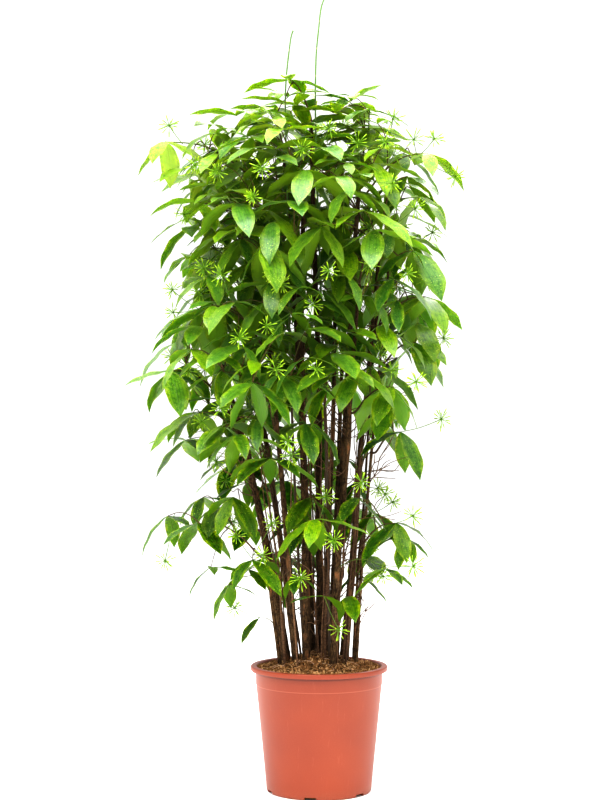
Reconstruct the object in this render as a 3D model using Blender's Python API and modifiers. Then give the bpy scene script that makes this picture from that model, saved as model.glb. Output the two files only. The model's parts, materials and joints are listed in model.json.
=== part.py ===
"""A dracaena tuft in a thin-walled nursery pot. Metres, +Z up, the pot's base centred on the origin."""

import math
import random

import bmesh
import bpy
import numpy as np
from mathutils import Vector
from mathutils.bvhtree import BVHTree

UP = Vector((0, 0, 1))
GAP = 0.0003  # between pieces that touch
SEED = 7

# Pot
POT_HEIGHT = 0.247
RIM_RADIUS = 0.135
BEAD_HEIGHT = 0.010
BEAD_ROUNDING = 0.002
NECK_RADIUS = 0.125  # outside, just under the bead
STEP_DROP = 0.027  # from the bead down to the moulded step
STEP_DEPTH = 0.0009
FOOT_RADIUS = 0.1035
FOOT_ROUNDING = 0.004
POT_WALL = 0.0022
POT_FLOOR = 0.0028
POT_SIDES = 32
NOTCHES = 6
NOTCH_WIDTH = 0.026
NOTCH_TOP_WIDTH = 0.022
NOTCH_HEIGHT = 0.006
NOTCH_REACH = 0.016  # inwards from the foot's outside
NOTCH_TURN = math.radians(-100)

# Soil
SOIL_EDGE = 0.2415
SOIL_MOUND = 0.030
MOUND_RADIUS = 0.110
SOIL_RINGS = (0.035, 0.075)
SOIL_ROUGHNESS = 0.0022
SOIL_WAVES = 5
SOIL_PACE = (60, 190)  # radians a metre

# Canes: foot x, foot y, head x, head y, head z, foot radius, whether the head is leafy
CANES = (
    (-0.066, 0.018, -0.186, 0.012, 0.830, 0.0095, False),
    (-0.047, -0.014, -0.108, -0.070, 1.030, 0.0065, True),
    (-0.025, -0.026, -0.034, -0.085, 1.120, 0.0085, True),
    (-0.012, 0.026, -0.072, 0.045, 1.270, 0.0056, True),
    (0.004, -0.004, -0.014, -0.022, 1.318, 0.0072, True),
    (0.014, 0.044, 0.047, 0.090, 1.230, 0.0056, True),
    (0.027, -0.049, 0.078, -0.135, 0.990, 0.0064, True),
    (0.033, 0.012, 0.080, 0.000, 1.220, 0.0080, True),
    (0.053, -0.013, 0.118, -0.050, 1.100, 0.0062, True),
    (0.074, 0.008, 0.140, 0.030, 1.020, 0.0038, True),
    (0.070, 0.045, 0.112, 0.104, 0.880, 0.0034, True),
    (-0.048, 0.052, -0.158, 0.122, 0.990, 0.0066, True),
    (-0.018, 0.072, -0.046, 0.172, 1.120, 0.0066, True),
    (0.022, 0.078, 0.062, 0.192, 1.010, 0.0060, True),
    (-0.078, -0.012, -0.140, -0.072, 0.690, 0.0040, False),
    (0.048, 0.056, 0.136, 0.140, 1.060, 0.0056, True),
)
CANE_DEPTH = 0.050  # of the straight foot under the soil
CANE_CLEAR = 0.012  # of the straight foot above it
FOOT_UPRIGHT = 2  # how much straighter the foot stands than its cane leans
CANE_BENDS = 4
CANE_TAPER = 0.50
CANE_SIDES = 8
CANE_SPREAD = 1.20  # the power with which a cane leans out on its way up
CANE_WANDER = 0.0035

# Shoots: the points of each, from its foot in the soil to its tip
SHOOTS = {
    "shoot_left": (
        (-0.030, -0.002, 0.240),
        (-0.046, -0.008, 0.560),
        (-0.058, -0.026, 0.900),
        (-0.063, -0.040, 1.200),
        (-0.066, -0.044, 1.365),
        (-0.057, -0.044, 1.465),
        (-0.051, -0.043, 1.491),
    ),
    "shoot_right": (
        (0.020, -0.022, 0.240),
        (0.016, -0.040, 0.560),
        (0.006, -0.052, 0.900),
        (-0.006, -0.058, 1.250),
        (-0.007, -0.058, 1.414),
        (-0.001, -0.057, 1.494),
        (0.005, -0.057, 1.538),
        (0.017, -0.057, 1.561),
    ),
}
SHOOT_RADIUS = 0.0030
SHOOT_TIP_RADIUS = 0.0012

# The crown's outline, as height and distance from the pot's axis, on the left and on the right
LEFT_REACH = (
    (0.30, 0.13),
    (0.40, 0.21),
    (0.45, 0.31),
    (0.57, 0.29),
    (0.68, 0.31),
    (0.77, 0.37),
    (0.90, 0.35),
    (1.00, 0.31),
    (1.20, 0.32),
    (1.25, 0.31),
    (1.33, 0.24),
    (1.37, 0.19),
    (1.40, 0.12),
    (1.43, 0.04),
)
RIGHT_REACH = (
    (0.30, 0.10),
    (0.40, 0.14),
    (0.50, 0.21),
    (0.66, 0.22),
    (0.78, 0.25),
    (0.93, 0.27),
    (1.12, 0.25),
    (1.20, 0.29),
    (1.31, 0.22),
    (1.36, 0.15),
    (1.40, 0.07),
    (1.43, 0.03),
)

# Sprays on side branches. First those that stand out of the crown: their tips and their side twigs
TIPS = (
    (-0.300, -0.050, 1.275, 1),
    (0.205, -0.060, 1.255, 2),
    (-0.285, -0.110, 0.830, 2),
    (0.205, -0.080, 0.960, 2),
    (-0.235, -0.060, 0.520, 2),
    (0.150, -0.070, 0.530, 2),
    (-0.170, -0.180, 1.160, 2),
)
# Then the rest, in rings: the height of the tips, how many stand round the crown, side twigs on each
RINGS = (
    (1.18, 3, 2),
    (1.05, 4, 2),
    (0.92, 3, 2),
    (0.80, 4, 2),
    (0.68, 3, 2),
    (0.56, 2, 1),
    (0.43, 1, 1),
)
TIP_DRIFT = 0.04  # of a tip's height, either way
LEAF_REACH = 0.062  # how far a tip's leaves hang out beyond it
SPRAY_RISE = 0.55  # of its run
HEAD_RUN = (0.020, 0.075)  # from a cane's head to the tip of the spray on it
HEAD_RISE = (0.050, 0.105)
SPRAY_COLLAR = 0.008
COLLAR_ROOM = 0.0065  # round a root, which turns to the flat of its cane that it is seated on
SEAT_MARGIN = 0.04  # the share of a flat's length that a seat keeps off its ends
SPRAY_RADIUS = 0.0024
TWIG_RADIUS = 0.0010
TWIG_TAPER = (1.15, 1.15, 0.9)
TWIG_LENGTH = (0.055, 0.105)
TWIG_TRIES = 20
FORK_FIRST = 2.0  # in steps of the main twig from its root
FORK_SPAN = 1.6
FORK_TURN = (35, 135)  # degrees from the way that the main twig runs
FORK_RISE = (0.15, 0.9)
FORK_FREE = 0.4  # the share of its first step along which a side twig may touch its own spray
SPRAY_BOW = 0.16

# Leaves
LEAF_LENGTH = 0.116
LEAF_VARIES = (0.80, 1.14)
LEAF_SHRINKS = 0.045  # with each try at a place
LEAF_SLENDER = (0.35, 0.45)
SMALL_LEAF = 0.104  # a shorter leaf has one section between its root and its tip
BLADE = 0.0016  # thickness at the midrib
SHOULDER = 0.95  # the powers of the outline near the stalk and near the drip tip
DRIP = 1.00
FOLD = 0.16
HUB_RADIUS = 0.0026
HUB_HALF = 0.0016
LEAF_LIFT = (-24, 24)  # degrees either way where a leaf leaves its hub
LEAF_TILT = ((0.35, -26), (1.00, -34), (1.25, -20), (1.40, 2))  # heights, and degrees above level there
LEAF_BEND = (16, 52)  # degrees that it has turned down at its tip
STEEPEST = -88  # degrees above level that a tip hangs at most
LEAF_ROLL = (-14, 14)
LEAF_JITTER = 0.07  # of the turn from one leaf of a whorl to the next
LEAF_ROOM = 0.86  # the share of that turn that a blade may take near the hub
WHORL_LEAVES = 4
LEAF_TRIES = 9
CLEARANCE = 0.0016
BLADE_START = 0.13  # the share of a leaf that is left out where it is tested against its own spray

# Umbels of flower buds
UMBEL_RAY = 0.0225
UMBEL_CORE = 0.0022
UMBEL_STALK = (0.026, 0.055)
UMBEL_FOOT = (0.55, 0.90)  # the share of its twig at which a stalk starts
UMBEL_LIFT = (-35, 75)  # degrees above level
STALK_FREE = 0.2  # the share along which a stalk may touch its own spray
STALK_RADIUS = 0.0008
UMBEL_TRIES = 22
UMBEL_TOP = 1.350  # none stands higher


def heading_vector(heading):
    return Vector((math.cos(heading), math.sin(heading), 0))


def width_share(share):
    """The blade's width at a share of its length, as a share of its greatest width."""
    peak = SHOULDER / (SHOULDER + DRIP)
    greatest = peak**SHOULDER * (1 - peak) ** DRIP
    return share**SHOULDER * (1 - share) ** DRIP / greatest


class Leaf:
    """A blade that leaves its hub at one elevation and arches over to another."""

    def __init__(self, hub, heading, length, width, lift, droop, roll):
        self.hub, self.heading = hub, heading
        self.length, self.width = length, width
        self.lift, self.droop, self.roll = lift, droop, roll

    def station(self, share):
        """The midrib's point, the direction across the blade and the one out of its upper face."""
        turn = self.droop - self.lift
        angle = self.lift + turn * share
        out = heading_vector(self.heading)
        run = self.length / turn * (math.sin(angle) - math.sin(self.lift))
        rise = self.length / turn * (math.cos(self.lift) - math.cos(angle))
        across = UP.cross(out)
        face = UP * math.cos(angle) - out * math.sin(angle)
        turned = across * math.cos(self.roll) + face * math.sin(self.roll)
        face = face * math.cos(self.roll) - across * math.sin(self.roll)
        return self.hub + out * run + UP * rise, turned, face

    def section(self, share, spare=0.0):
        """Left edge, upper midrib, right edge and lower midrib."""
        centre, across, face = self.station(share)
        half = self.width / 2 * width_share(share) + spare
        thick = BLADE / 2 + spare
        edge = face * half * FOLD
        left, right = centre + across * half + edge, centre - across * half + edge
        return [left, centre + face * thick, right, centre - face * thick]

    def shares(self):
        """Where the solid blade has its sections: two on a large leaf, one on a small leaf."""
        return (0.30, 0.68) if self.length > SMALL_LEAF else (0.42,)

    def spread(self):
        """How far to its side the blade's first section reaches, as an angle seen from above its hub."""
        left, _, right, _ = self.section(self.shares()[0])
        offsets = [edge - self.hub for edge in (left, right)]
        turns = [math.atan2(offset.y, offset.x) - self.heading for offset in offsets]
        return max(abs((turn + math.pi) % math.tau - math.pi) for turn in turns)


def band(first, second):
    """Triangles between two rings of four, split alike on the upper and lower face."""
    faces = []
    for a, b, shared in ((0, 1, 0), (1, 2, 1), (2, 3, 0), (3, 0, 1)):
        if shared:
            faces += [(first[a], first[b], second[b]), (first[a], second[b], second[a])]
        else:
            faces += [(first[a], first[b], second[a]), (first[b], second[b], second[a])]
    return faces


def blade_shape(leaf, start):
    """A leaf a little larger than life, from a share of its length on, to test for clearance."""
    points, faces = [], [(0, 1, 2, 3)]
    for share in (start, *leaf.shares()):
        points += leaf.section(share, CLEARANCE)
    for ring in range(0, len(points) - 4, 4):
        faces += band(range(ring, ring + 4), range(ring + 4, ring + 8))
    last = len(points) - 4
    points.append(leaf.station(1 + CLEARANCE / leaf.length)[0])
    faces += [(last + a, last + (a + 1) % 4, last + 4) for a in range(4)]
    return points, faces


def tube_shape(points, radius):
    """A four-sided tube along some points, to test for clearance."""
    corners, faces = [], [(0, 1, 2, 3)]
    for i, point in enumerate(points):
        along = points[min(i + 1, len(points) - 1)] - points[max(i - 1, 0)]
        side = along.cross(Vector((0.3, 0.9, 0.1))).normalized() * radius
        other = along.cross(side).normalized() * radius
        corners += [point + side, point + other, point - side, point - other]
    for ring in range(0, len(corners) - 4, 4):
        for a in range(4):
            b = (a + 1) % 4
            faces.append((ring + a, ring + b, ring + 4 + b, ring + 4 + a))
    faces.append(tuple(len(corners) - 4 + a for a in range(4)))
    return corners, faces


def unit_ball():
    """The points and the triangles of an icosahedron of radius 1."""
    shape = bmesh.new()
    bmesh.ops.create_icosphere(shape, subdivisions=1, radius=1)
    points = [vertex.co.copy() for vertex in shape.verts]
    faces = [tuple(vertex.index for vertex in face.verts) for face in shape.faces]
    shape.free()
    return points, faces


class Clearance:
    """Everything grown so far, asked whether a new piece keeps clear of it."""

    def __init__(self):
        self.points, self.faces = [], []
        self.others, self.own = None, []

    def add(self, points, faces):
        start = len(self.points)
        self.points += points
        self.faces += [tuple(start + corner for corner in face) for face in faces]

    def settle(self):
        """Closes the spray that was growing: what it holds counts as another's from here on."""
        self.others, self.own = BVHTree.FromPolygons(self.points, self.faces), []

    def clear_of_others(self, shape):
        return not BVHTree.FromPolygons(*shape).overlap(self.others)

    def clear_of_own(self, shape):
        tree = BVHTree.FromPolygons(*shape)
        return not any(tree.overlap(other) for other in self.own)

    def keep(self, whole, part):
        self.add(*whole)
        self.own.append(BVHTree.FromPolygons(*part))


def soil_height(radius):
    """The soil's level at a distance from the pot's axis."""
    share = min(radius / MOUND_RADIUS, 1)
    return SOIL_EDGE + SOIL_MOUND * (math.cos(math.pi * share) + 1) / 2


def cane_paths():
    """Each cane's points, from its foot under the soil to its head, and its radius at each."""
    paths = []
    for number, (x, y, head_x, head_y, head_z, radius, _) in enumerate(CANES):
        draws = random.Random(SEED + number)
        ground = soil_height(math.hypot(x, y)) + CANE_CLEAR
        foot, head = Vector((x, y, ground)), Vector((head_x, head_y, head_z))
        lean = ((head - foot).normalized() + UP * FOOT_UPRIGHT).normalized()
        points = [foot - lean * (CANE_CLEAR + CANE_DEPTH), foot]
        radii = [radius, radius]
        for bend in range(1, CANE_BENDS + 1):
            share = bend / CANE_BENDS
            point = foot.lerp(head, share)
            point.x = foot.x + (head.x - foot.x) * share**CANE_SPREAD
            point.y = foot.y + (head.y - foot.y) * share**CANE_SPREAD
            point.x += draws.uniform(-CANE_WANDER, CANE_WANDER)
            point.y += draws.uniform(-CANE_WANDER, CANE_WANDER)
            points.append(point)
            radii.append(radius * (1 - (1 - CANE_TAPER) * share))
        paths.append((points, radii))
    return paths


def shoot_paths():
    """Each shoot's points and radii, its foot sunk in the soil."""
    paths = {}
    for name, places in SHOOTS.items():
        points = [Vector(place) for place in places]
        points[0].z = soil_height(math.hypot(points[0].x, points[0].y)) + CANE_CLEAR
        lean = (points[1] - points[0]).normalized()
        points.insert(0, points[0] - lean * (CANE_CLEAR + CANE_DEPTH))
        steps = [max(point.z - points[0].z, 0) / (points[-1].z - points[0].z) for point in points]
        radii = [SHOOT_RADIUS + (SHOOT_TIP_RADIUS - SHOOT_RADIUS) * step for step in steps]
        paths[name] = (points, radii)
    return paths


def point_at(path, height):
    """A cane's axis point and radius at a height."""
    points, radii = path
    heights = [point.z for point in points]
    place = [float(np.interp(height, heights, [point[axis] for point in points])) for axis in (0, 1)]
    return Vector((*place, height)), float(np.interp(height, heights, radii))


def crown_reach(heading, height):
    """How far the leaves reach from the pot's axis."""
    right = float(np.interp(height, *zip(*RIGHT_REACH)))
    left = float(np.interp(height, *zip(*LEFT_REACH)))
    return left + (right - left) * (1 + math.cos(heading)) / 2


def arch(start, end, bow, count):
    """Points along an arch, without its start."""
    rise = UP * bow * (end - start).length * 4
    steps = [step / count for step in range(1, count + 1)]
    return [start.lerp(end, step) + rise * step * (1 - step) for step in steps]


def grow_whorl(hub, length, leaves, clearance, draws):
    """Leaves round a hub that keep clear of everything grown so far."""
    turn = draws.uniform(0, math.tau)
    tilt = float(np.interp(hub.z, *zip(*LEAF_TILT)))
    whorl = []
    for number in range(leaves):
        for attempt in range(LEAF_TRIES):
            long = length * draws.uniform(*LEAF_VARIES) * (1 - LEAF_SHRINKS * attempt)
            heading = turn + (number + draws.uniform(-LEAF_JITTER, LEAF_JITTER)) * math.tau / leaves
            width = long * draws.uniform(*LEAF_SLENDER)
            lift = tilt + draws.uniform(*LEAF_LIFT)
            droop = max(lift - draws.uniform(*LEAF_BEND), STEEPEST)
            roll = draws.uniform(*LEAF_ROLL)
            posture = [math.radians(angle) for angle in (lift, droop, roll)]
            leaf = Leaf(hub, heading, long, width, *posture)
            if leaf.spread() > LEAF_ROOM * math.pi / leaves:
                continue
            whole, part = blade_shape(leaf, 0), blade_shape(leaf, BLADE_START)
            if clearance.clear_of_others(whole) and clearance.clear_of_own(part):
                clearance.keep(whole, part)
                whorl.append(leaf)
                break
    return sorted(whorl, key=lambda leaf: leaf.heading % math.tau)


def grow_umbel(twig, ball, clearance, draws):
    """A stalk and the centre of its umbel, clear of everything, or None."""
    for _ in range(UMBEL_TRIES):
        step = draws.uniform(*UMBEL_FOOT) * (len(twig) - 1)
        foot = twig[int(step)].lerp(twig[int(step) + 1], step % 1)
        heading = draws.uniform(0, math.tau)
        lift = math.radians(draws.uniform(*UMBEL_LIFT))
        way = heading_vector(heading) * math.cos(lift) + UP * math.sin(lift)
        centre = foot + way * draws.uniform(*UMBEL_STALK)
        if centre.z > UMBEL_TOP:
            continue
        buds = [centre + point * (UMBEL_RAY + 2 * CLEARANCE) for point in ball[0]], ball[1]
        whole = tube_shape([foot, centre], STALK_RADIUS + CLEARANCE)
        part = tube_shape([foot.lerp(centre, STALK_FREE), centre], STALK_RADIUS + CLEARANCE)
        others_clear = clearance.clear_of_others(buds) and clearance.clear_of_others(whole)
        if others_clear and clearance.clear_of_own(buds) and clearance.clear_of_own(part):
            clearance.keep(buds, buds)
            clearance.keep(whole, part)
            return foot, centre
    return None


def grow_spray(root, lead, tip, side_twigs, leaf_length, ball, clearance, draws):
    """A forking twig with its whorls and umbels, or None where its main twig finds no way."""
    main = [root, lead, *arch(lead, tip, SPRAY_BOW, 3)]
    collar = tube_shape(main[1:3], COLLAR_ROOM)
    if not clearance.clear_of_others(tube_shape(main[1:], SPRAY_RADIUS + CLEARANCE)):
        return None
    if not clearance.clear_of_others(collar):
        return None
    twigs = [main]
    clearance.keep(tube_shape(main, HUB_RADIUS), tube_shape(main, SPRAY_RADIUS))
    clearance.add(*collar)
    away = main[-1] - main[1]
    side = draws.choice((-1, 1))
    for number in range(side_twigs):
        for _ in range(TWIG_TRIES):
            step = FORK_FIRST + (number + draws.uniform(0.1, 0.7)) * FORK_SPAN / side_twigs
            fork = main[int(step)].lerp(main[int(step) + 1], step % 1)
            turn = side * math.radians(draws.uniform(*FORK_TURN))
            out = heading_vector(math.atan2(away.y, away.x) + turn) + UP * draws.uniform(*FORK_RISE)
            end = fork + out.normalized() * draws.uniform(*TWIG_LENGTH)
            twig = [fork, *arch(fork, end, SPRAY_BOW, 2)]
            room = crown_reach(math.atan2(end.y, end.x), end.z) - LEAF_REACH
            free = [fork.lerp(twig[1], FORK_FREE), *twig[1:]]
            others_clear = clearance.clear_of_others(tube_shape(twig, HUB_RADIUS + CLEARANCE))
            own_clear = clearance.clear_of_own(tube_shape(free, HUB_RADIUS))
            if end.xy.length < room and others_clear and own_clear:
                twigs.append(twig)
                clearance.keep(tube_shape(twig, HUB_RADIUS), tube_shape(free, TWIG_RADIUS))
                break
        side = -side
    whorls = []
    for twig in twigs:
        leaves = WHORL_LEAVES + draws.choice((-1, 0, 0, 0))
        whorl = grow_whorl(twig[-1], leaf_length, leaves, clearance, draws)
        if whorl:
            whorls.append(whorl)
    umbels = [grow_umbel(draws.choice(twigs), ball, clearance, draws)]
    return {"twigs": twigs, "whorls": whorls, "umbels": [umbel for umbel in umbels if umbel]}


def leaf_length_at(height):
    """Leaves are smaller low down and among the new growth at the top."""
    return LEAF_LENGTH * float(np.interp(height, (0.35, 0.65, 1.15, 1.40), (0.72, 1.0, 1.0, 0.74)))


def grow_plant():
    """Canes, shoots and sprays, each spray with the number of its cane."""
    canes, shoots, ball = cane_paths(), shoot_paths(), unit_ball()
    clearance = Clearance()
    for points, radii in [*canes, *shoots.values()]:
        clearance.add(*tube_shape(points, radii[0] * 1.05))
    clearance.add(*tube_shape([Vector((0, 0, 0)), Vector((0, 0, POT_HEIGHT))], RIM_RADIUS * 1.1))
    clearance.settle()
    sprays = []

    def try_spray(number, root, lead, tip, side_twigs, draws, at_head=False):
        spray = grow_spray(root, lead, tip, side_twigs, leaf_length_at(tip.z), ball, clearance, draws)
        clearance.settle()
        if spray:
            sprays.append({"cane": number, "at_head": at_head, **spray})
        return bool(spray)

    for number, (points, radii) in enumerate(canes):
        draws = random.Random(SEED * 100 + number)
        if not CANES[number][-1]:
            continue
        head, along = points[-1], (points[-1] - points[-2]).normalized()
        out = Vector((head.x, head.y, 0)).normalized()
        for _ in range(LEAF_TRIES):
            tip = head + out * draws.uniform(*HEAD_RUN) + UP * draws.uniform(*HEAD_RISE)
            if try_spray(number, head, head + along * SPRAY_COLLAR, tip, 2, draws, True):
                break
    for number, (x, y, z, side_twigs) in enumerate(TIPS):
        draws = random.Random(SEED * 500 + number)
        for _ in range(LEAF_TRIES):
            tip = Vector((x, y, z + draws.uniform(-0.01, 0.01)))
            if spray_from_nearest(canes, tip, side_twigs, try_spray, draws):
                break
    for level, (height, count, side_twigs) in enumerate(RINGS):
        for number in range(count):
            draws = random.Random(SEED * 1000 + level * 50 + number)
            for _ in range(LEAF_TRIES):
                heading = (number + 0.5 * (level % 2) + draws.uniform(-0.25, 0.25)) * math.tau / count
                tip_height = height + draws.uniform(-TIP_DRIFT, TIP_DRIFT)
                out = heading_vector(heading)
                tip = out * (crown_reach(heading, tip_height - 0.03) - LEAF_REACH) + UP * tip_height
                if spray_from_nearest(canes, tip, side_twigs, try_spray, draws):
                    break
    return canes, shoots, sprays


def spray_from_nearest(canes, tip, side_twigs, try_spray, draws):
    """Grows a side branch to a tip from the nearest cane that leaves it a way."""
    choices = []
    for number, path in enumerate(canes):
        run = (tip - point_at(path, tip.z)[0]).xy.length
        height = tip.z - run * SPRAY_RISE
        if path[0][1].z + 0.05 < height < path[0][-1].z - 0.02:
            axis, radius = point_at(path, height)
            choices.append(((tip - axis).length, number, axis, radius))
    for _, number, axis, radius in sorted(choices, key=lambda choice: choice[0])[:3]:
        out = (tip - axis).xy.to_3d().normalized()
        root = axis + out * (radius + GAP)
        if try_spray(number, root, root + out * SPRAY_COLLAR, tip, side_twigs, draws):
            return True
    return False


def clear_scene():
    for obj in list(bpy.data.objects):
        bpy.data.objects.remove(obj, do_unlink=True)


def new_collection(name):
    collection = bpy.data.collections.new(name)
    bpy.context.scene.collection.children.link(collection)
    return collection


def new_material(name, colour, roughness):
    material = bpy.data.materials.new(name)
    material.use_nodes = True
    shader = material.node_tree.nodes["Principled BSDF"]
    shader.inputs["Base Color"].default_value = (*colour, 1)
    shader.inputs["Roughness"].default_value = roughness
    shader.inputs["Metallic"].default_value = 0
    return material


def add_mesh(name, points, faces, collection, material=None):
    mesh = bpy.data.meshes.new(name)
    mesh.from_pydata([tuple(point) for point in points], [], faces)
    obj = bpy.data.objects.new(name, mesh)
    collection.objects.link(obj)
    if material:
        mesh.materials.append(material)
    return obj


def turned(name, profile, collection, material):
    """A closed body turned from a profile of distances from the axis and heights."""
    points = [(radius, 0, height) for radius, height in profile]
    edges = [(i, i + 1) for i in range(len(points) - 1)]
    mesh = bpy.data.meshes.new(name)
    mesh.from_pydata(points, edges, [])
    obj = bpy.data.objects.new(name, mesh)
    collection.objects.link(obj)
    screw = obj.modifiers.new("turned", "SCREW")
    screw.steps = screw.render_steps = POT_SIDES
    screw.use_merge_vertices = True
    screw.merge_threshold = 0.0001
    mesh.materials.append(material)
    return obj


def tube(name, points, radii, sides, collection, material=None):
    """A round tube along some points, made a mesh with its caps welded."""
    curve = bpy.data.curves.new(name, "CURVE")
    curve.dimensions = "3D"
    curve.bevel_depth = 1
    curve.bevel_resolution = (sides - 4) // 2
    curve.use_fill_caps = True
    spline = curve.splines.new("POLY")
    spline.points.add(len(points) - 1)
    for place, point, radius in zip(spline.points, points, radii):
        place.co = (*point, 1)
        place.radius = radius
    guide = bpy.data.objects.new(name, curve)
    collection.objects.link(guide)
    graph = bpy.context.evaluated_depsgraph_get()
    mesh = bpy.data.meshes.new_from_object(guide.evaluated_get(graph))
    obj = bpy.data.objects.new(name, mesh)
    obj.matrix_world = guide.matrix_world
    bpy.data.objects.remove(guide, do_unlink=True)
    bpy.data.curves.remove(curve)
    collection.objects.link(obj)
    obj.name = name
    tidy_mesh(mesh)
    if material:
        mesh.materials.append(material)
    return obj


def tidy_mesh(mesh):
    """Welds a mesh's doubles and turns its faces outwards."""
    shape = bmesh.new()
    shape.from_mesh(mesh)
    bmesh.ops.remove_doubles(shape, verts=shape.verts, dist=0.00001)
    bmesh.ops.recalc_face_normals(shape, faces=shape.faces)
    shape.to_mesh(mesh)
    shape.free()


def boolean(obj, operation, cutters):
    """A Boolean with a whole collection."""
    modifier = obj.modifiers.new(operation.lower(), "BOOLEAN")
    modifier.operation = operation
    modifier.operand_type = "COLLECTION"
    modifier.collection = cutters
    modifier.solver = "EXACT"


def apply_modifiers(obj):
    graph = bpy.context.evaluated_depsgraph_get()
    mesh = bpy.data.meshes.new_from_object(obj.evaluated_get(graph))
    obj.modifiers.clear()
    old = obj.data
    obj.data = mesh
    bpy.data.meshes.remove(old)


def hide(collection):
    """Marks every object of a collection as a cutter."""
    for obj in collection.objects:
        obj.hide_render = True
        obj.display_type = "WIRE"


def inner_radius(height):
    """The inside radius of the pot's straight tapered wall at a height."""
    foot = FOOT_ROUNDING * 2
    return FOOT_RADIUS - POT_WALL + (NECK_RADIUS - FOOT_RADIUS) * (height - foot) / (POT_HEIGHT - foot)


def make_pot(collection, cutters, material):
    bead_base = POT_HEIGHT - BEAD_HEIGHT
    step = bead_base - STEP_DROP
    foot = FOOT_ROUNDING * 2
    inner = [(FOOT_RADIUS - POT_WALL, foot)]
    bead = [
        (NECK_RADIUS - POT_WALL, POT_HEIGHT),
        (RIM_RADIUS - BEAD_ROUNDING, POT_HEIGHT),
        (RIM_RADIUS, POT_HEIGHT - BEAD_ROUNDING),
        (RIM_RADIUS, bead_base + BEAD_ROUNDING),
        (RIM_RADIUS - BEAD_ROUNDING, bead_base),
        (NECK_RADIUS, bead_base),
    ]
    outer = [
        (NECK_RADIUS, step + STEP_DEPTH),
        (NECK_RADIUS - STEP_DEPTH, step),
        (FOOT_RADIUS, foot),
        (FOOT_RADIUS - FOOT_ROUNDING * 0.2, FOOT_ROUNDING * 0.6),
        (FOOT_RADIUS - FOOT_ROUNDING, 0),
    ]
    floor = [(0, POT_FLOOR), (FOOT_RADIUS - FOOT_ROUNDING - POT_WALL, POT_FLOOR)]
    pot = turned("pot", floor + inner + bead + outer + [(0, 0)], collection, material)
    for number in range(NOTCHES):
        turn = NOTCH_TURN + number * math.tau / NOTCHES
        add_notch(turn, cutters)
    boolean(pot, "DIFFERENCE", cutters)
    hide(cutters)
    apply_modifiers(pot)
    shade(pot)
    return pot


def add_notch(turn, cutters):
    """A drainage notch's cutter, wider at the pot's foot than above it."""
    shape = bmesh.new()
    bmesh.ops.create_cube(shape, size=1)
    for vertex in shape.verts:
        top = vertex.co.z > 0
        vertex.co.x = FOOT_RADIUS + NOTCH_REACH * 2 * vertex.co.x
        vertex.co.y *= NOTCH_TOP_WIDTH if top else NOTCH_WIDTH
        vertex.co.z = NOTCH_HEIGHT if top else -NOTCH_HEIGHT
    mesh = bpy.data.meshes.new("notch_cutter")
    shape.to_mesh(mesh)
    shape.free()
    cutter = bpy.data.objects.new("notch_cutter", mesh)
    cutter.rotation_euler.z = turn
    cutters.objects.link(cutter)


def shade(obj, angle=math.radians(40)):
    obj.data.shade_smooth()
    obj.data.set_sharp_from_angle(angle=angle)


def make_soil(collection, cutters, material, rooted):
    """The soil that fills the pot, with a plain hole for each cane and shoot."""
    foot = FOOT_ROUNDING * 2
    inset = POT_WALL + GAP
    top = [(radius, soil_height(radius)) for radius in (0, *SOIL_RINGS)]
    top.append((inner_radius(SOIL_EDGE) - GAP, SOIL_EDGE))
    side = [
        (FOOT_RADIUS - inset, foot),
        (FOOT_RADIUS - FOOT_ROUNDING - inset, POT_FLOOR + GAP),
        (0, POT_FLOOR + GAP),
    ]
    soil = turned("soil", top + side, collection, material)
    apply_modifiers(soil)
    draws = random.Random(SEED)
    ranges = SOIL_PACE, (0, math.tau), (0, math.tau)
    waves = [[draws.uniform(*span) for span in ranges] for _ in range(SOIL_WAVES)]
    for vertex in soil.data.vertices:
        place = vertex.co
        if place.z > SOIL_EDGE + GAP:
            for pace, heading, start in waves:
                along = place.x * math.cos(heading) + place.y * math.sin(heading)
                place.z += SOIL_ROUGHNESS / 2 * math.sin(pace * along + start)
    for points, radii in rooted:
        lean = (points[1] - points[0]).normalized()
        radius = (radii[0] + GAP) / math.cos(math.pi / CANE_SIDES)
        tube("soil_hole", [points[0] - lean * GAP, points[1]], [radius, radius], CANE_SIDES, cutters)
    boolean(soil, "DIFFERENCE", cutters)
    hide(cutters)
    apply_modifiers(soil)
    return soil


def seat_on(cane, root, out):
    """The middle of the flat of a cane that lies nearest to a root, and the way that it faces."""
    mesh = cane.data
    points = [vertex.co for vertex in mesh.vertices]
    tree = BVHTree.FromPolygons(points, [polygon.vertices for polygon in mesh.polygons])
    _, _, face, _ = tree.find_nearest(root + out * SPRAY_COLLAR)
    corners = [points[index] for index in mesh.polygons[face].vertices]
    corners.sort(key=lambda corner: corner.z)
    low, high = (corners[0] + corners[1]) / 2, (corners[2] + corners[3]) / 2
    share = (root.z - low.z) / (high.z - low.z)
    return low.lerp(high, min(max(share, SEAT_MARGIN), 1 - SEAT_MARGIN)), mesh.polygons[face].normal


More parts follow.
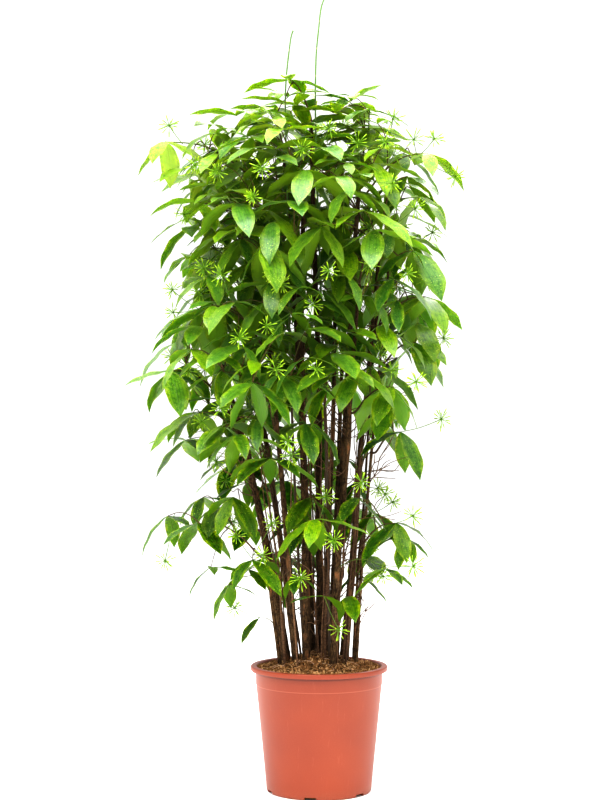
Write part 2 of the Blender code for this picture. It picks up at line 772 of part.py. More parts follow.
def whorl_solid(whorl, collection):
    """Leaves that grow out of one hub: neighbours share its ring points, its top and its bottom."""
    hub = whorl[0].hub
    points, faces = [hub + UP * HUB_HALF, hub - UP * HUB_HALF], []
    headings = [leaf.heading % math.tau for leaf in whorl]
    count = max(len(whorl), 2)
    for number in range(count):
        if len(whorl) == 1:
            between = headings[0] + (0.5 - number) * math.pi
        else:
            between = headings[number] - (headings[number] - headings[number - 1]) % math.tau / 2
        points.append(hub + heading_vector(between) * HUB_RADIUS)
    for number, leaf in enumerate(whorl):
        ring = (2 + (number + 1) % count, 0, 2 + number, 1) if len(whorl) > 1 else (2, 0, 3, 1)
        for share in leaf.shares():
            start = len(points)
            points += leaf.section(share)
            faces += band(ring, range(start, start + 4))
            ring = range(start, start + 4)
        points.append(leaf.station(1)[0])
        faces += [(ring[a], ring[(a + 1) % 4], len(points) - 1) for a in range(4)]
    if len(whorl) == 1:
        faces += [(2, 0, 3), (2, 3, 1)]
    obj = add_mesh("whorl", points, faces, collection)
    tidy_mesh(obj.data)
    return obj


def umbel_solid(foot, centre, collection):
    """Bud rays raised from the faces of a small ball, and the stalk drawn from one of them."""
    shape = bmesh.new()
    bmesh.ops.create_icosphere(shape, subdivisions=1, radius=UMBEL_CORE)
    way = foot - centre
    shape.faces.ensure_lookup_table()
    stalk = shape.faces[0]
    turn = stalk.calc_center_median().rotation_difference(way).to_matrix()
    bmesh.ops.rotate(shape, cent=(0, 0, 0), matrix=turn, verts=shape.verts)
    rays = [face for face in shape.faces if face is not stalk]
    drawn = bmesh.ops.extrude_discrete_faces(shape, faces=[stalk])["faces"][0]
    for vertex in drawn.verts:
        side = vertex.co - way * (vertex.co.dot(way) / way.length_squared)
        vertex.co = way + side * STALK_RADIUS / side.length
    bmesh.ops.poke(shape, faces=rays, offset=UMBEL_RAY)
    bmesh.ops.translate(shape, vec=centre, verts=shape.verts)
    bmesh.ops.triangulate(shape, faces=shape.faces)
    bmesh.ops.recalc_face_normals(shape, faces=shape.faces)
    mesh = bpy.data.meshes.new("umbel")
    shape.to_mesh(mesh)
    shape.free()
    obj = bpy.data.objects.new("umbel", mesh)
    collection.objects.link(obj)
    return obj


def make_spray(name, spray, cane, collection, material):
    """Twigs, whorls and umbels joined as one body, its root square to the wood that carries it."""
    main, *side_twigs = spray["twigs"]
    seat, out = main[0], (main[1] - main[0]).normalized()
    if not spray["at_head"]:
        seat, out = seat_on(cane, seat, out)
    path = [seat + out * GAP, seat + out * SPRAY_COLLAR, *main[2:]]
    radii = [float(radius) for radius in np.linspace(SPRAY_RADIUS, TWIG_RADIUS, len(path))]
    joined = new_collection("joined")
    obj = tube(name, path, radii, 4, collection)
    for twig in side_twigs:
        tube("twig", twig, [TWIG_RADIUS * share for share in TWIG_TAPER], 4, joined)
    for whorl in spray["whorls"]:
        whorl_solid(whorl, joined)
    for foot, centre in spray["umbels"]:
        umbel_solid(foot, centre, joined)
    boolean(obj, "UNION", joined)
    apply_modifiers(obj)
    for helper in list(joined.objects):
        bpy.data.objects.remove(helper, do_unlink=True)
    bpy.data.collections.remove(joined)
    obj.data.materials.clear()
    obj.data.materials.append(material)
    return obj


def main():
    clear_scene()
    parts, cutters = new_collection("potted_gold_dust_dracaena"), new_collection("cutters")
    soil_cutters = new_collection("soil_cutters")
    plastic = new_material("terracotta_plastic", (0.73, 0.14, 0.07), 0.42)
    coir = new_material("coir_soil", (0.12, 0.06, 0.03), 0.95)
    bark = new_material("cane_bark", (0.11, 0.055, 0.03), 0.80)
    stem_green = new_material("shoot_green", (0.12, 0.26, 0.06), 0.50)
    leaf_green = new_material("leaf_green", (0.05, 0.18, 0.02), 0.35)
    canes, shoots, sprays = grow_plant()
    make_pot(parts, cutters, plastic)
    make_soil(parts, soil_cutters, coir, [*canes, *shoots.values()])
    stems = []
    for number, (points, radii) in enumerate(canes, 1):
        stems.append(tube(f"cane_{number:02d}", points, radii, CANE_SIDES, parts, bark))
    for name, (points, radii) in shoots.items():
        tube(name, points, radii, 6, parts, stem_green)
    for number, spray in enumerate(sprays, 1):
        make_spray(f"spray_{number:02d}", spray, stems[spray["cane"]], parts, leaf_green)


main()
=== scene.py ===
import json
import math
import random

import bmesh
import bpy
import numpy as np
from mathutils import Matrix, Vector
from mathutils.bvhtree import BVHTree
from mathutils.kdtree import KDTree

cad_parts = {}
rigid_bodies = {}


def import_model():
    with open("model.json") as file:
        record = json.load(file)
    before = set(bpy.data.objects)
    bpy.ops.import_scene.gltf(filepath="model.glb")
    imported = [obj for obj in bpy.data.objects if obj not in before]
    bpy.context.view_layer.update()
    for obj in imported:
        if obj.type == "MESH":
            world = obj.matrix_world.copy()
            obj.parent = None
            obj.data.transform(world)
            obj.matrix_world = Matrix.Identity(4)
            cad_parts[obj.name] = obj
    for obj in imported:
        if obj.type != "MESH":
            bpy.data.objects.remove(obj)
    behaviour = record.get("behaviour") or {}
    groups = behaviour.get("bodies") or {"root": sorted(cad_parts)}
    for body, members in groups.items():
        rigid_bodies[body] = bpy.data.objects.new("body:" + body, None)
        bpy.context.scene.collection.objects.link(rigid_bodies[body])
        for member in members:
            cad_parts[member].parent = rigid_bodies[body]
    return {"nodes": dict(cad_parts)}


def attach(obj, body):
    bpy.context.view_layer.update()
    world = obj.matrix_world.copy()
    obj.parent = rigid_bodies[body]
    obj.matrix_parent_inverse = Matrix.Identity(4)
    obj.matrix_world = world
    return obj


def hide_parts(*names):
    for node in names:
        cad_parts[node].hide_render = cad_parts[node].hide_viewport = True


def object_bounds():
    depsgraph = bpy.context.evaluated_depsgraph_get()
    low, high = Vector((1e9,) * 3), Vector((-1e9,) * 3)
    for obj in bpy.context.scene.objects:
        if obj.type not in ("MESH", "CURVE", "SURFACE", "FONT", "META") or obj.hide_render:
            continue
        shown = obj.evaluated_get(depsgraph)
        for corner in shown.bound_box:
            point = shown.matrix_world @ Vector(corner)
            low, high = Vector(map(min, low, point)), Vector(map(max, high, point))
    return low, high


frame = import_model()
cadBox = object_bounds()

up = Vector((0, 0, 1))
gap = 0.0003  # between pieces that touch
plantSeed = 7
eyePlace = (-0.0375, -3.6, 0.770)  # where the photo was taken from


# node trees written as expressions

class Wire:  # a socket that takes Python's operators, each of which adds its Math node

    def __init__(self, board, socket):
        self.board, self.socket = board, socket

    def math(self, operation, *others):
        return self.board.math(operation, self, *others)

    def __add__(self, other):
        return self.math("ADD", other)

    __radd__ = __add__

    def __sub__(self, other):
        return self.math("SUBTRACT", other)

    def __rsub__(self, other):
        return self.board.math("SUBTRACT", other, self)

    def __mul__(self, other):
        return self.math("MULTIPLY", other)

    __rmul__ = __mul__

    def __truediv__(self, other):
        return self.math("DIVIDE", other)

    def __pow__(self, other):
        return self.math("POWER", other)

    def __neg__(self):
        return self.math("MULTIPLY", -1)

    def __abs__(self):
        return self.math("ABSOLUTE")


class Board:  # a node tree that is filled in from Python

    def __init__(self, tree):
        self.tree = tree

    def plug(self, socket, value):
        if isinstance(value, Wire):
            self.tree.links.new(value.socket, socket)
        elif value is not None:
            if socket.type == "RGBA" and len(value) == 3:
                value = (*value, 1)
            socket.default_value = value

    def node(self, kind, settings=None, sockets=None, out=0):
        made = self.tree.nodes.new(kind)
        for name, value in (settings or {}).items():
            setattr(made, name, value)
        for name, value in (sockets or {}).items():
            self.plug(made.inputs[name], value)
        return Wire(self, made.outputs[out]) if len(made.outputs) else made

    def math(self, operation, *values):
        return self.node("ShaderNodeMath", {"operation": operation}, dict(enumerate(values)))

    def vector(self, operation, *values):
        return self.node("ShaderNodeVectorMath", {"operation": operation}, dict(enumerate(values)))

    def scaled(self, vector, factor):
        return self.node("ShaderNodeVectorMath", {"operation": "SCALE"}, {"Vector": vector, "Scale": factor})

    def combined(self, x, y, z):
        return self.node("ShaderNodeCombineXYZ", None, {"X": x, "Y": y, "Z": z})

    def parts(self, vector):
        split = self.node("ShaderNodeSeparateXYZ", None, {"Vector": vector}).socket.node
        return [Wire(self, output) for output in split.outputs]

    def between(self, value, low, high, soft=False):
        kind = "SMOOTHSTEP" if soft else "LINEAR"
        sockets = {"Value": value, "From Min": low, "From Max": high}
        return self.node("ShaderNodeMapRange", {"interpolation_type": kind, "clamp": True}, sockets)

    def mixed(self, factor, first, second, blend="MIX"):
        settings = {"data_type": "RGBA", "blend_type": blend, "clamp_factor": True}
        return self.node("ShaderNodeMix", settings, {0: factor, 6: first, 7: second}, 2)


def srgb(*levels):  # a colour as a paint program names it, made linear for the shader
    shares = [level / 255 for level in levels]
    return tuple(share / 12.92 if share <= 0.04045 else ((share + 0.055) / 1.055) ** 2.4 for share in shares)


class Paint(Board):  # a material and its shader

    def __init__(self, name, settings=None):
        self.material = bpy.data.materials.new(name)
        self.material.use_nodes = True
        super().__init__(self.material.node_tree)
        self.shader = self.tree.nodes["Principled BSDF"]
        for socket, value in (settings or {}).items():
            self.shader.inputs[socket].default_value = value

    def place(self):
        return self.node("ShaderNodeTexCoord", None, None, "Object")

    def stretched(self, scale, turn=(0, 0, 0)):
        sockets = {"Vector": self.place(), "Scale": scale, "Rotation": turn}
        return self.node("ShaderNodeMapping", None, sockets)

    def noise(self, vector, scale, detail=3, roughness=0.5):
        sockets = {"Vector": vector, "Scale": scale, "Detail": detail, "Roughness": roughness}
        return self.node("ShaderNodeTexNoise", None, sockets)

    def attribute(self, name, out="Fac"):
        return self.node("ShaderNodeAttribute", {"attribute_name": name}, None, out)

    def finish(self, colour, roughness, height=None, distance=0.001, strength=1.0, coat=None):
        self.plug(self.shader.inputs["Base Color"], colour)
        self.plug(self.shader.inputs["Roughness"], roughness)
        if coat is not None:
            self.plug(self.shader.inputs["Coat Weight"], coat)
        if height is not None:
            sockets = {"Height": height, "Distance": distance, "Strength": strength}
            self.plug(self.shader.inputs["Normal"], self.node("ShaderNodeBump", None, sockets))
        return self.material


class Grower(Board):  # a Geometry Nodes tree with named inputs, run once on an object

    kinds = {"float": "NodeSocketFloat", "int": "NodeSocketInt", "object": "NodeSocketObject",
             "material": "NodeSocketMaterial"}

    def __init__(self, name, **inputs):
        tree = bpy.data.node_groups.new(name, "GeometryNodeTree")
        super().__init__(tree)
        tree.interface.new_socket("Geometry", in_out="INPUT", socket_type="NodeSocketGeometry")
        tree.interface.new_socket("Geometry", in_out="OUTPUT", socket_type="NodeSocketGeometry")
        self.identifiers = {}
        for label, kind in inputs.items():
            socket = tree.interface.new_socket(label, in_out="INPUT", socket_type=self.kinds[kind])
            self.identifiers[label] = socket.identifier
        self.inlet = tree.nodes.new("NodeGroupInput")
        self.outlet = tree.nodes.new("NodeGroupOutput")

    def given(self, label="Geometry"):
        return Wire(self, self.inlet.outputs[label])

    def named(self, name, vector=False):
        kind = "FLOAT_VECTOR" if vector else "FLOAT"
        return self.node("GeometryNodeInputNamedAttribute", {"data_type": kind}, {"Name": name})

    def store(self, geometry, name, value, vector=False):
        settings = {"data_type": "FLOAT_VECTOR" if vector else "FLOAT", "domain": "POINT"}
        sockets = {"Geometry": geometry, "Name": name, "Value": value}
        return self.node("GeometryNodeStoreNamedAttribute", settings, sockets)

    def chance(self, low, high, seed=0, vector=False):  # a random value between two for each instance
        first, out = (0, 0) if vector else (2, 1)
        settings = {"data_type": "FLOAT_VECTOR" if vector else "FLOAT"}
        return self.node("FunctionNodeRandomValue", settings, {first: low, first + 1: high, 8: seed}, out)

    def template(self):  # the object that is set on every point
        return self.node("GeometryNodeObjectInfo", None, {"Object": self.given("template")}, "Geometry")

    def finish(self, geometry):
        real = self.node("GeometryNodeRealizeInstances", None, {"Geometry": geometry})
        sockets = {"Geometry": real, "Material": self.given("material")}
        painted = self.node("GeometryNodeSetMaterial", None, sockets)
        self.tree.links.new(painted.socket, self.outlet.inputs[0])

    def grow(self, name, source, **values):  # the finished plain mesh of the tree on a source object
        modifier = source.modifiers.new("grown", "NODES")
        modifier.node_group = self.tree
        for label, value in values.items():
            modifier[self.identifiers[label]] = value
        source.update_tag()
        graph = bpy.context.evaluated_depsgraph_get()
        mesh = bpy.data.meshes.new_from_object(source.evaluated_get(graph))
        source.modifiers.remove(modifier)
        bpy.data.objects.remove(source, do_unlink=True)
        mesh.name = name
        piece = bpy.data.objects.new(name, mesh)
        bpy.context.scene.collection.objects.link(piece)
        mesh.materials.clear()
        mesh.materials.append(values["material"])
        return piece


# the plant's own shape

potSizes = {
    "height": 0.247,
    "rimRadius": 0.135,
    "beadHeight": 0.010,
    "neckRadius": 0.125,  # outside, just under the bead
    "stepDrop": 0.027,  # from the bead down to the moulded step
    "stepDepth": 0.0009,
    "footRadius": 0.1035,
    "footRounding": 0.004,
    "wall": 0.0022,
    "floor": 0.0028,
    "notches": 6,
    "notchWidth": 0.026,
    "notchTopWidth": 0.022,
    "notchHeight": 0.006,
    "notchReach": 0.016,
    "notchTurn": math.radians(-100),
    "sides": 128,
}
soilSizes = {
    "edge": 0.2415,
    "mound": 0.030,
    "moundRadius": 0.110,
}
caneSizes = {
    "depth": 0.050,  # of the straight foot under the soil
    "clear": 0.012,  # of the straight foot above it
    "upright": 2,
    "bends": 4,
    "taper": 0.50,
    "spread": 1.20,  # the power with which a cane leans out on its way up
    "wander": 0.0035,
    "room": 1.05,  # how much wider than itself a cane counts for its neighbours
    "canes": (
        (-0.066, 0.018, -0.186, 0.012, 0.830, 0.0095, False),
        (-0.047, -0.014, -0.108, -0.070, 1.030, 0.0065, True),
        (-0.025, -0.026, -0.034, -0.085, 1.120, 0.0085, True),
        (-0.012, 0.026, -0.072, 0.045, 1.270, 0.0056, True),
        (0.004, -0.004, -0.014, -0.022, 1.318, 0.0072, True),
        (0.014, 0.044, 0.047, 0.090, 1.230, 0.0056, True),
        (0.027, -0.049, 0.078, -0.135, 0.990, 0.0064, True),
        (0.033, 0.012, 0.080, 0.000, 1.220, 0.0080, True),
        (0.053, -0.013, 0.118, -0.050, 1.100, 0.0062, True),
        (0.074, 0.008, 0.140, 0.030, 1.020, 0.0038, True),
        (0.070, 0.045, 0.112, 0.104, 0.880, 0.0034, True),
        (-0.048, 0.052, -0.158, 0.122, 0.990, 0.0066, True),
        (-0.018, 0.072, -0.046, 0.172, 1.120, 0.0066, True),
        (0.022, 0.078, 0.062, 0.192, 1.010, 0.0060, True),
        (-0.078, -0.012, -0.140, -0.072, 0.690, 0.0040, False),
        (0.048, 0.056, 0.136, 0.140, 1.060, 0.0056, True),
    ),
}
shootSizes = {
    "radius": 0.0030,
    "tipRadius": 0.0012,
    "paths": {
        "shoot_left": (
            (-0.030, -0.002, 0.240),
            (-0.046, -0.008, 0.560),
            (-0.058, -0.026, 0.900),
            (-0.063, -0.040, 1.200),
            (-0.066, -0.044, 1.365),
            (-0.057, -0.044, 1.465),
            (-0.051, -0.043, 1.491),
        ),
        "shoot_right": (
            (0.020, -0.022, 0.240),
            (0.016, -0.040, 0.560),
            (0.006, -0.052, 0.900),
            (-0.006, -0.058, 1.250),
            (-0.007, -0.058, 1.414),
            (-0.001, -0.057, 1.494),
            (0.005, -0.057, 1.538),
            (0.017, -0.057, 1.561),
        ),
    },
}
crownShape = {  # height and distance from the pot's axis, on the left and on the right
    "left": (
        (0.30, 0.13),
        (0.40, 0.21),
        (0.45, 0.31),
        (0.57, 0.29),
        (0.68, 0.31),
        (0.77, 0.37),
        (0.90, 0.35),
        (1.00, 0.31),
        (1.20, 0.32),
        (1.25, 0.31),
        (1.33, 0.24),
        (1.37, 0.19),
        (1.40, 0.12),
        (1.43, 0.04),
    ),
    "right": (
        (0.30, 0.10),
        (0.40, 0.14),
        (0.50, 0.21),
        (0.66, 0.22),
        (0.78, 0.25),
        (0.93, 0.27),
        (1.12, 0.25),
        (1.20, 0.29),
        (1.31, 0.22),
        (1.36, 0.15),
        (1.40, 0.07),
        (1.43, 0.03),
    ),
    "tips": (  # of branches that stand out of the crown: where, and their side twigs
        (-0.300, -0.050, 1.275, 1),
        (0.205, -0.060, 1.255, 2),
        (-0.285, -0.110, 0.830, 2),
        (0.205, -0.080, 0.960, 2),
        (-0.235, -0.060, 0.520, 2),
        (0.150, -0.070, 0.530, 2),
        (-0.170, -0.180, 1.160, 2),
    ),
    "rings": (
        (1.18, 3, 2),
        (1.05, 4, 2),
        (0.92, 3, 2),
        (0.80, 4, 2),
        (0.68, 3, 2),
        (0.56, 2, 1),
        (0.43, 1, 1),
    ),
    "tipDrift": 0.04,
    "smallDrift": 0.01,
    "turnDrift": 0.25,  # of the turn from one branch of a ring to the next
    "reachDrop": 0.03,  # how far below its tip a branch reads the crown's reach
    "leafReach": 0.062,  # how far a tip's leaves hang out beyond it
}
sprayShape = {
    "rise": 0.55,
    "overFoot": 0.05,  # the least height of a branch's root over its cane's foot
    "underHead": 0.02,  # and its least drop from the cane's head
    "canesTried": 3,
    "headTwigs": 2,
    "headRun": (0.020, 0.075),
    "headRise": (0.050, 0.105),
    "collar": 0.008,
    "collarRoom": 0.0065,
    "radius": 0.0024,
    "twigRadius": 0.0010,
    "twigLength": (0.055, 0.105),
    "twigTries": 20,
    "forkFirst": 2.0,
    "forkSpan": 1.6,
    "forkTurn": (35, 135),
    "forkRise": (0.15, 0.9),
    "forkFree": 0.4,
    "bow": 0.16,
}
leafShape = {
    "length": 0.116,
    "lengthAt": ((0.35, 0.72), (0.65, 1.0), (1.15, 1.0), (1.40, 0.74)),  # height, and the share of it there
    "varies": (0.80, 1.14),
    "shrinks": 0.045,
    "slender": (0.35, 0.45),
    "smallLeaf": 0.104,
    "blade": 0.0016,
    "shoulder": 0.95,  # the powers of the outline near the stalk and near the drip tip
    "drip": 1.00,
    "fold": 0.16,
    "hubRadius": 0.0026,
    "lift": (-24, 24),  # degrees either way where a leaf leaves its hub
    "tilt": ((0.35, -26), (1.00, -34), (1.25, -20), (1.40, 2)),  # height, and degrees above level there
    "bend": (16, 52),  # how far it has turned down at its tip
    "steepest": -88,
    "roll": (-14, 14),
    "jitter": 0.07,  # of the turn from one leaf of a whorl to the next
    "room": 0.86,  # the share of that turn that a blade may take near the hub
    "perWhorl": 4,
    "tries": 9,
    "clearance": 0.0016,
    "bladeStart": 0.13,
}
umbelShape = {
    "ray": 0.0225,
    "stalk": (0.026, 0.055),
    "stalkRadius": 0.0008,
    "foot": (0.55, 0.90),
    "lift": (-35, 75),
    "stalkFree": 0.2,
    "tries": 22,
    "top": 1.350,  # none stands higher
}


def headingVector(heading):
    return Vector((math.cos(heading), math.sin(heading), 0))


def circle(radius, height, sides):
    return [headingVector(math.tau * side / sides) * radius + up * height for side in range(sides)]


def scatter(draws, most):  # a random shift of up to that much along each axis
    return Vector([draws.uniform(-most, most) for _ in range(3)])


def valueAt(place, table):  # read between the rows of a table of places and values
    return float(np.interp(place, *zip(*table)))


def taper(first, last, count):  # even steps from one value to another
    return [first + (last - first) * step / (count - 1) for step in range(count)]


def widthShare(share):  # the blade's width at a share of its length, as a share of its greatest width
    peak = leafShape["shoulder"] / (leafShape["shoulder"] + leafShape["drip"])
    greatest = peak**leafShape["shoulder"] * (1 - peak) ** leafShape["drip"]
    return share**leafShape["shoulder"] * (1 - share) ** leafShape["drip"] / greatest


class Leaf:  # a blade that leaves its hub at one elevation and arches over to another

    def __init__(self, hub, heading, length, width, lift, droop, roll):
        self.hub, self.heading = hub, heading
        self.length, self.width = length, width
        self.lift, self.droop, self.roll = lift, droop, roll

    def station(self, share):  # the midrib's point, the way across the blade and out of its upper face
        turn = self.droop - self.lift
        angle = self.lift + turn * share
        out = headingVector(self.heading)
        run = self.length / turn * (math.sin(angle) - math.sin(self.lift))
        rise = self.length / turn * (math.cos(self.lift) - math.cos(angle))
        across = up.cross(out)
        face = up * math.cos(angle) - out * math.sin(angle)
        turned = across * math.cos(self.roll) + face * math.sin(self.roll)
        face = face * math.cos(self.roll) - across * math.sin(self.roll)
        return self.hub + out * run + up * rise, turned, face

    def section(self, share, spare=0.0):  # left edge, upper midrib, right edge and lower midrib
        centre, across, face = self.station(share)
        half = self.width / 2 * widthShare(share) + spare
        thick = leafShape["blade"] / 2 + spare
        edge = face * half * leafShape["fold"]
        left, right = centre + across * half + edge, centre - across * half + edge
        return [left, centre + face * thick, right, centre - face * thick]

    def shares(self):  # where the solid blade has its sections: two on a large leaf, one on a small leaf
        return (0.30, 0.68) if self.length > leafShape["smallLeaf"] else (0.42,)

    def spread(self):  # how far to its side the first section reaches, as an angle seen from above the hub
        left, _, right, _ = self.section(self.shares()[0])
        turns = [math.atan2(edge.y - self.hub.y, edge.x - self.hub.x) for edge in (left, right)]
        return max(abs((turn - self.heading + math.pi) % math.tau - math.pi) for turn in turns)


def band(first, second):  # triangles between two rings of four, split alike on the upper and lower face
    faces = []
    for a, b, shared in ((0, 1, 0), (1, 2, 1), (2, 3, 0), (3, 0, 1)):
        if shared:
            faces += [(first[a], first[b], second[b]), (first[a], second[b], second[a])]
        else:
            faces += [(first[a], first[b], second[a]), (first[b], second[b], second[a])]
    return faces


# a leaf a little larger than life, from a share of its length on, to test for clearance
def bladeShape(leaf, start):
    points, faces = [], [(0, 1, 2, 3)]
    for share in (start, *leaf.shares()):
        points += leaf.section(share, leafShape["clearance"])
    for ring in range(0, len(points) - 4, 4):
        faces += band(range(ring, ring + 4), range(ring + 4, ring + 8))
    last = len(points) - 4
    points.append(leaf.station(1 + leafShape["clearance"] / leaf.length)[0])
    faces += [(last + a, last + (a + 1) % 4, last + 4) for a in range(4)]
    return points, faces


def tubeShape(points, radius):  # a four-sided tube along some points, to test for clearance
    corners, faces = [], [(0, 1, 2, 3)]
    for i, point in enumerate(points):
        along = points[min(i + 1, len(points) - 1)] - points[max(i - 1, 0)]
        side = along.cross(Vector((0.3, 0.9, 0.1))).normalized() * radius
        other = along.cross(side).normalized() * radius
        corners += [point + side, point + other, point - side, point - other]
    for ring in range(0, len(corners) - 4, 4):
        for a in range(4):
            b = (a + 1) % 4
            faces.append((ring + a, ring + b, ring + 4 + b, ring + 4 + a))
    faces.append(tuple(len(corners) - 4 + a for a in range(4)))
    return corners, faces


def unitBall():  # the points and the triangles of an icosahedron of radius 1
    shape = bmesh.new()
    bmesh.ops.create_icosphere(shape, subdivisions=1, radius=1)
    points = [vertex.co.copy() for vertex in shape.verts]
    faces = [tuple(vertex.index for vertex in face.verts) for face in shape.faces]
    shape.free()
    return points, faces


class Clearance:  # everything grown so far, asked whether a new piece keeps clear of it

    def __init__(self):
        self.points, self.faces = [], []
        self.others, self.own = None, []

    def add(self, points, faces):
        start = len(self.points)
        self.points += points
        self.faces += [tuple(start + corner for corner in face) for face in faces]

    def settle(self):  # closes the spray that was growing: what it holds counts as another's from here on
        self.others, self.own = BVHTree.FromPolygons(self.points, self.faces), []

    def clearOfOthers(self, shape):
        return not BVHTree.FromPolygons(*shape).overlap(self.others)

    def clearOfOwn(self, shape):
        tree = BVHTree.FromPolygons(*shape)
        return not any(tree.overlap(other) for other in self.own)

    def keep(self, whole, part):
        self.add(*whole)
        self.own.append(BVHTree.FromPolygons(*part))

    def mark(self):
        return len(self.points), len(self.faces), len(self.own)

    def goBack(self, mark):  # drops what was kept since a mark
        for items, count in zip((self.points, self.faces, self.own), mark):
            del items[count:]


def soilHeight(radius):  # the soil's level at a distance from the pot's axis
    share = min(radius / soilSizes["moundRadius"], 1)
    return soilSizes["edge"] + soilSizes["mound"] * (math.cos(math.pi * share) + 1) / 2


def canePaths():  # each cane's points, from its foot under the soil to its head, and its radius at each
    paths = []
    for number, (x, y, headX, headY, headZ, radius, _) in enumerate(caneSizes["canes"]):
        draws = random.Random(plantSeed + number)
        ground = soilHeight(math.hypot(x, y)) + caneSizes["clear"]
        foot, head = Vector((x, y, ground)), Vector((headX, headY, headZ))
        lean = ((head - foot).normalized() + up * caneSizes["upright"]).normalized()
        points = [foot - lean * (caneSizes["clear"] + caneSizes["depth"]), foot]
        radii = [radius, radius]
        for bend in range(1, caneSizes["bends"] + 1):
            share = bend / caneSizes["bends"]
            point = foot.lerp(head, share)
            point.x = foot.x + (head.x - foot.x) * share**caneSizes["spread"]
            point.y = foot.y + (head.y - foot.y) * share**caneSizes["spread"]
            point.x += draws.uniform(-caneSizes["wander"], caneSizes["wander"])
            point.y += draws.uniform(-caneSizes["wander"], caneSizes["wander"])
            points.append(point)
            radii.append(radius * (1 - (1 - caneSizes["taper"]) * share))
        paths.append((points, radii))
    return paths


def shootPaths():  # each shoot's points and radii, its foot sunk in the soil
    paths = {}
    for name, places in shootSizes["paths"].items():
        points = [Vector(place) for place in places]
        points[0].z = soilHeight(math.hypot(points[0].x, points[0].y)) + caneSizes["clear"]
        lean = (points[1] - points[0]).normalized()
        points.insert(0, points[0] - lean * (caneSizes["clear"] + caneSizes["depth"]))
        steps = [max(point.z - points[0].z, 0) / (points[-1].z - points[0].z) for point in points]
        thinner = shootSizes["tipRadius"] - shootSizes["radius"]
        radii = [shootSizes["radius"] + thinner * step for step in steps]
        paths[name] = (points, radii)
    return paths


def pointAt(path, height):  # a cane's axis point and radius at a height
    points, radii = path
    heights = [point.z for point in points]
    place = [float(np.interp(height, heights, [point[axis] for point in points])) for axis in (0, 1)]
    return Vector((*place, height)), float(np.interp(height, heights, radii))


def crownReach(heading, height):  # how far the leaves reach from the pot's axis
    left, right = valueAt(height, crownShape["left"]), valueAt(height, crownShape["right"])
    return left + (right - left) * (1 + math.cos(heading)) / 2


def arch(start, end, bow, count):  # points along an arch, without its start
    rise = up * bow * (end - start).length * 4
    steps = [step / count for step in range(1, count + 1)]
    return [start.lerp(end, step) + rise * step * (1 - step) for step in steps]


# leaves round a hub that keep clear of everything grown so far
def growWhorl(hub, length, leaves, clearance, draws, manner=None, facing=None):
    manner = manner or leafShape
    turn = draws.uniform(0, math.tau) if facing is None else math.radians(facing)
    tilt = valueAt(hub.z, manner["tilt"])
    whorl = []
    for number in range(leaves):
        for attempt in range(leafShape["tries"]):
            long = length * draws.uniform(*leafShape["varies"]) * (1 - leafShape["shrinks"] * attempt)
            jitter = draws.uniform(-leafShape["jitter"], leafShape["jitter"])
            heading = turn + (number + jitter) * math.tau / leaves
            width = long * draws.uniform(*manner["slender"])
            lift = tilt + draws.uniform(*manner["lift"])
            droop = max(lift - draws.uniform(*manner["bend"]), leafShape["steepest"])
            roll = draws.uniform(*leafShape["roll"])
            leaf = Leaf(hub, heading, long, width, *(math.radians(angle) for angle in (lift, droop, roll)))
            if leaf.spread() > leafShape["room"] * math.pi / leaves:
                continue
            whole, part = bladeShape(leaf, 0), bladeShape(leaf, leafShape["bladeStart"])
            if clearance.clearOfOthers(whole) and clearance.clearOfOwn(part):
                clearance.keep(whole, part)
                whorl.append(leaf)
                break
    return sorted(whorl, key=lambda leaf: leaf.heading % math.tau)


def growUmbel(twig, ball, clearance, draws):  # a clear stalk and the centre of its umbel, or None
    budReach = umbelShape["ray"] + 2 * leafShape["clearance"]
    stalkRadius = umbelShape["stalkRadius"] + leafShape["clearance"]
    for _ in range(umbelShape["tries"]):
        step = draws.uniform(*umbelShape["foot"]) * (len(twig) - 1)
        foot = twig[int(step)].lerp(twig[int(step) + 1], step % 1)
        heading = draws.uniform(0, math.tau)
        lift = math.radians(draws.uniform(*umbelShape["lift"]))
        way = headingVector(heading) * math.cos(lift) + up * math.sin(lift)
        centre = foot + way * draws.uniform(*umbelShape["stalk"])
        if centre.z > umbelShape["top"]:
            continue
        buds = [centre + point * budReach for point in ball[0]], ball[1]
        whole = tubeShape([foot, centre], stalkRadius)
        part = tubeShape([foot.lerp(centre, umbelShape["stalkFree"]), centre], stalkRadius)
        othersClear = clearance.clearOfOthers(buds) and clearance.clearOfOthers(whole)
        if othersClear and clearance.clearOfOwn(buds) and clearance.clearOfOwn(part):
            clearance.keep(buds, buds)
            clearance.keep(whole, part)
            return foot, centre
    return None


def forkTwig(main, number, count, side, draws):  # a side twig, from its fork on the main twig
    away = main[-1] - main[1]
    step = sprayShape["forkFirst"] + (number + draws.uniform(0.1, 0.7)) * sprayShape["forkSpan"] / count
    fork = main[int(step)].lerp(main[int(step) + 1], step % 1)
    turn = side * math.radians(draws.uniform(*sprayShape["forkTurn"]))
    rise = up * draws.uniform(*sprayShape["forkRise"])
    out = headingVector(math.atan2(away.y, away.x) + turn) + rise
    end = fork + out.normalized() * draws.uniform(*sprayShape["twigLength"])
    return [fork, *arch(fork, end, sprayShape["bow"], 2)]


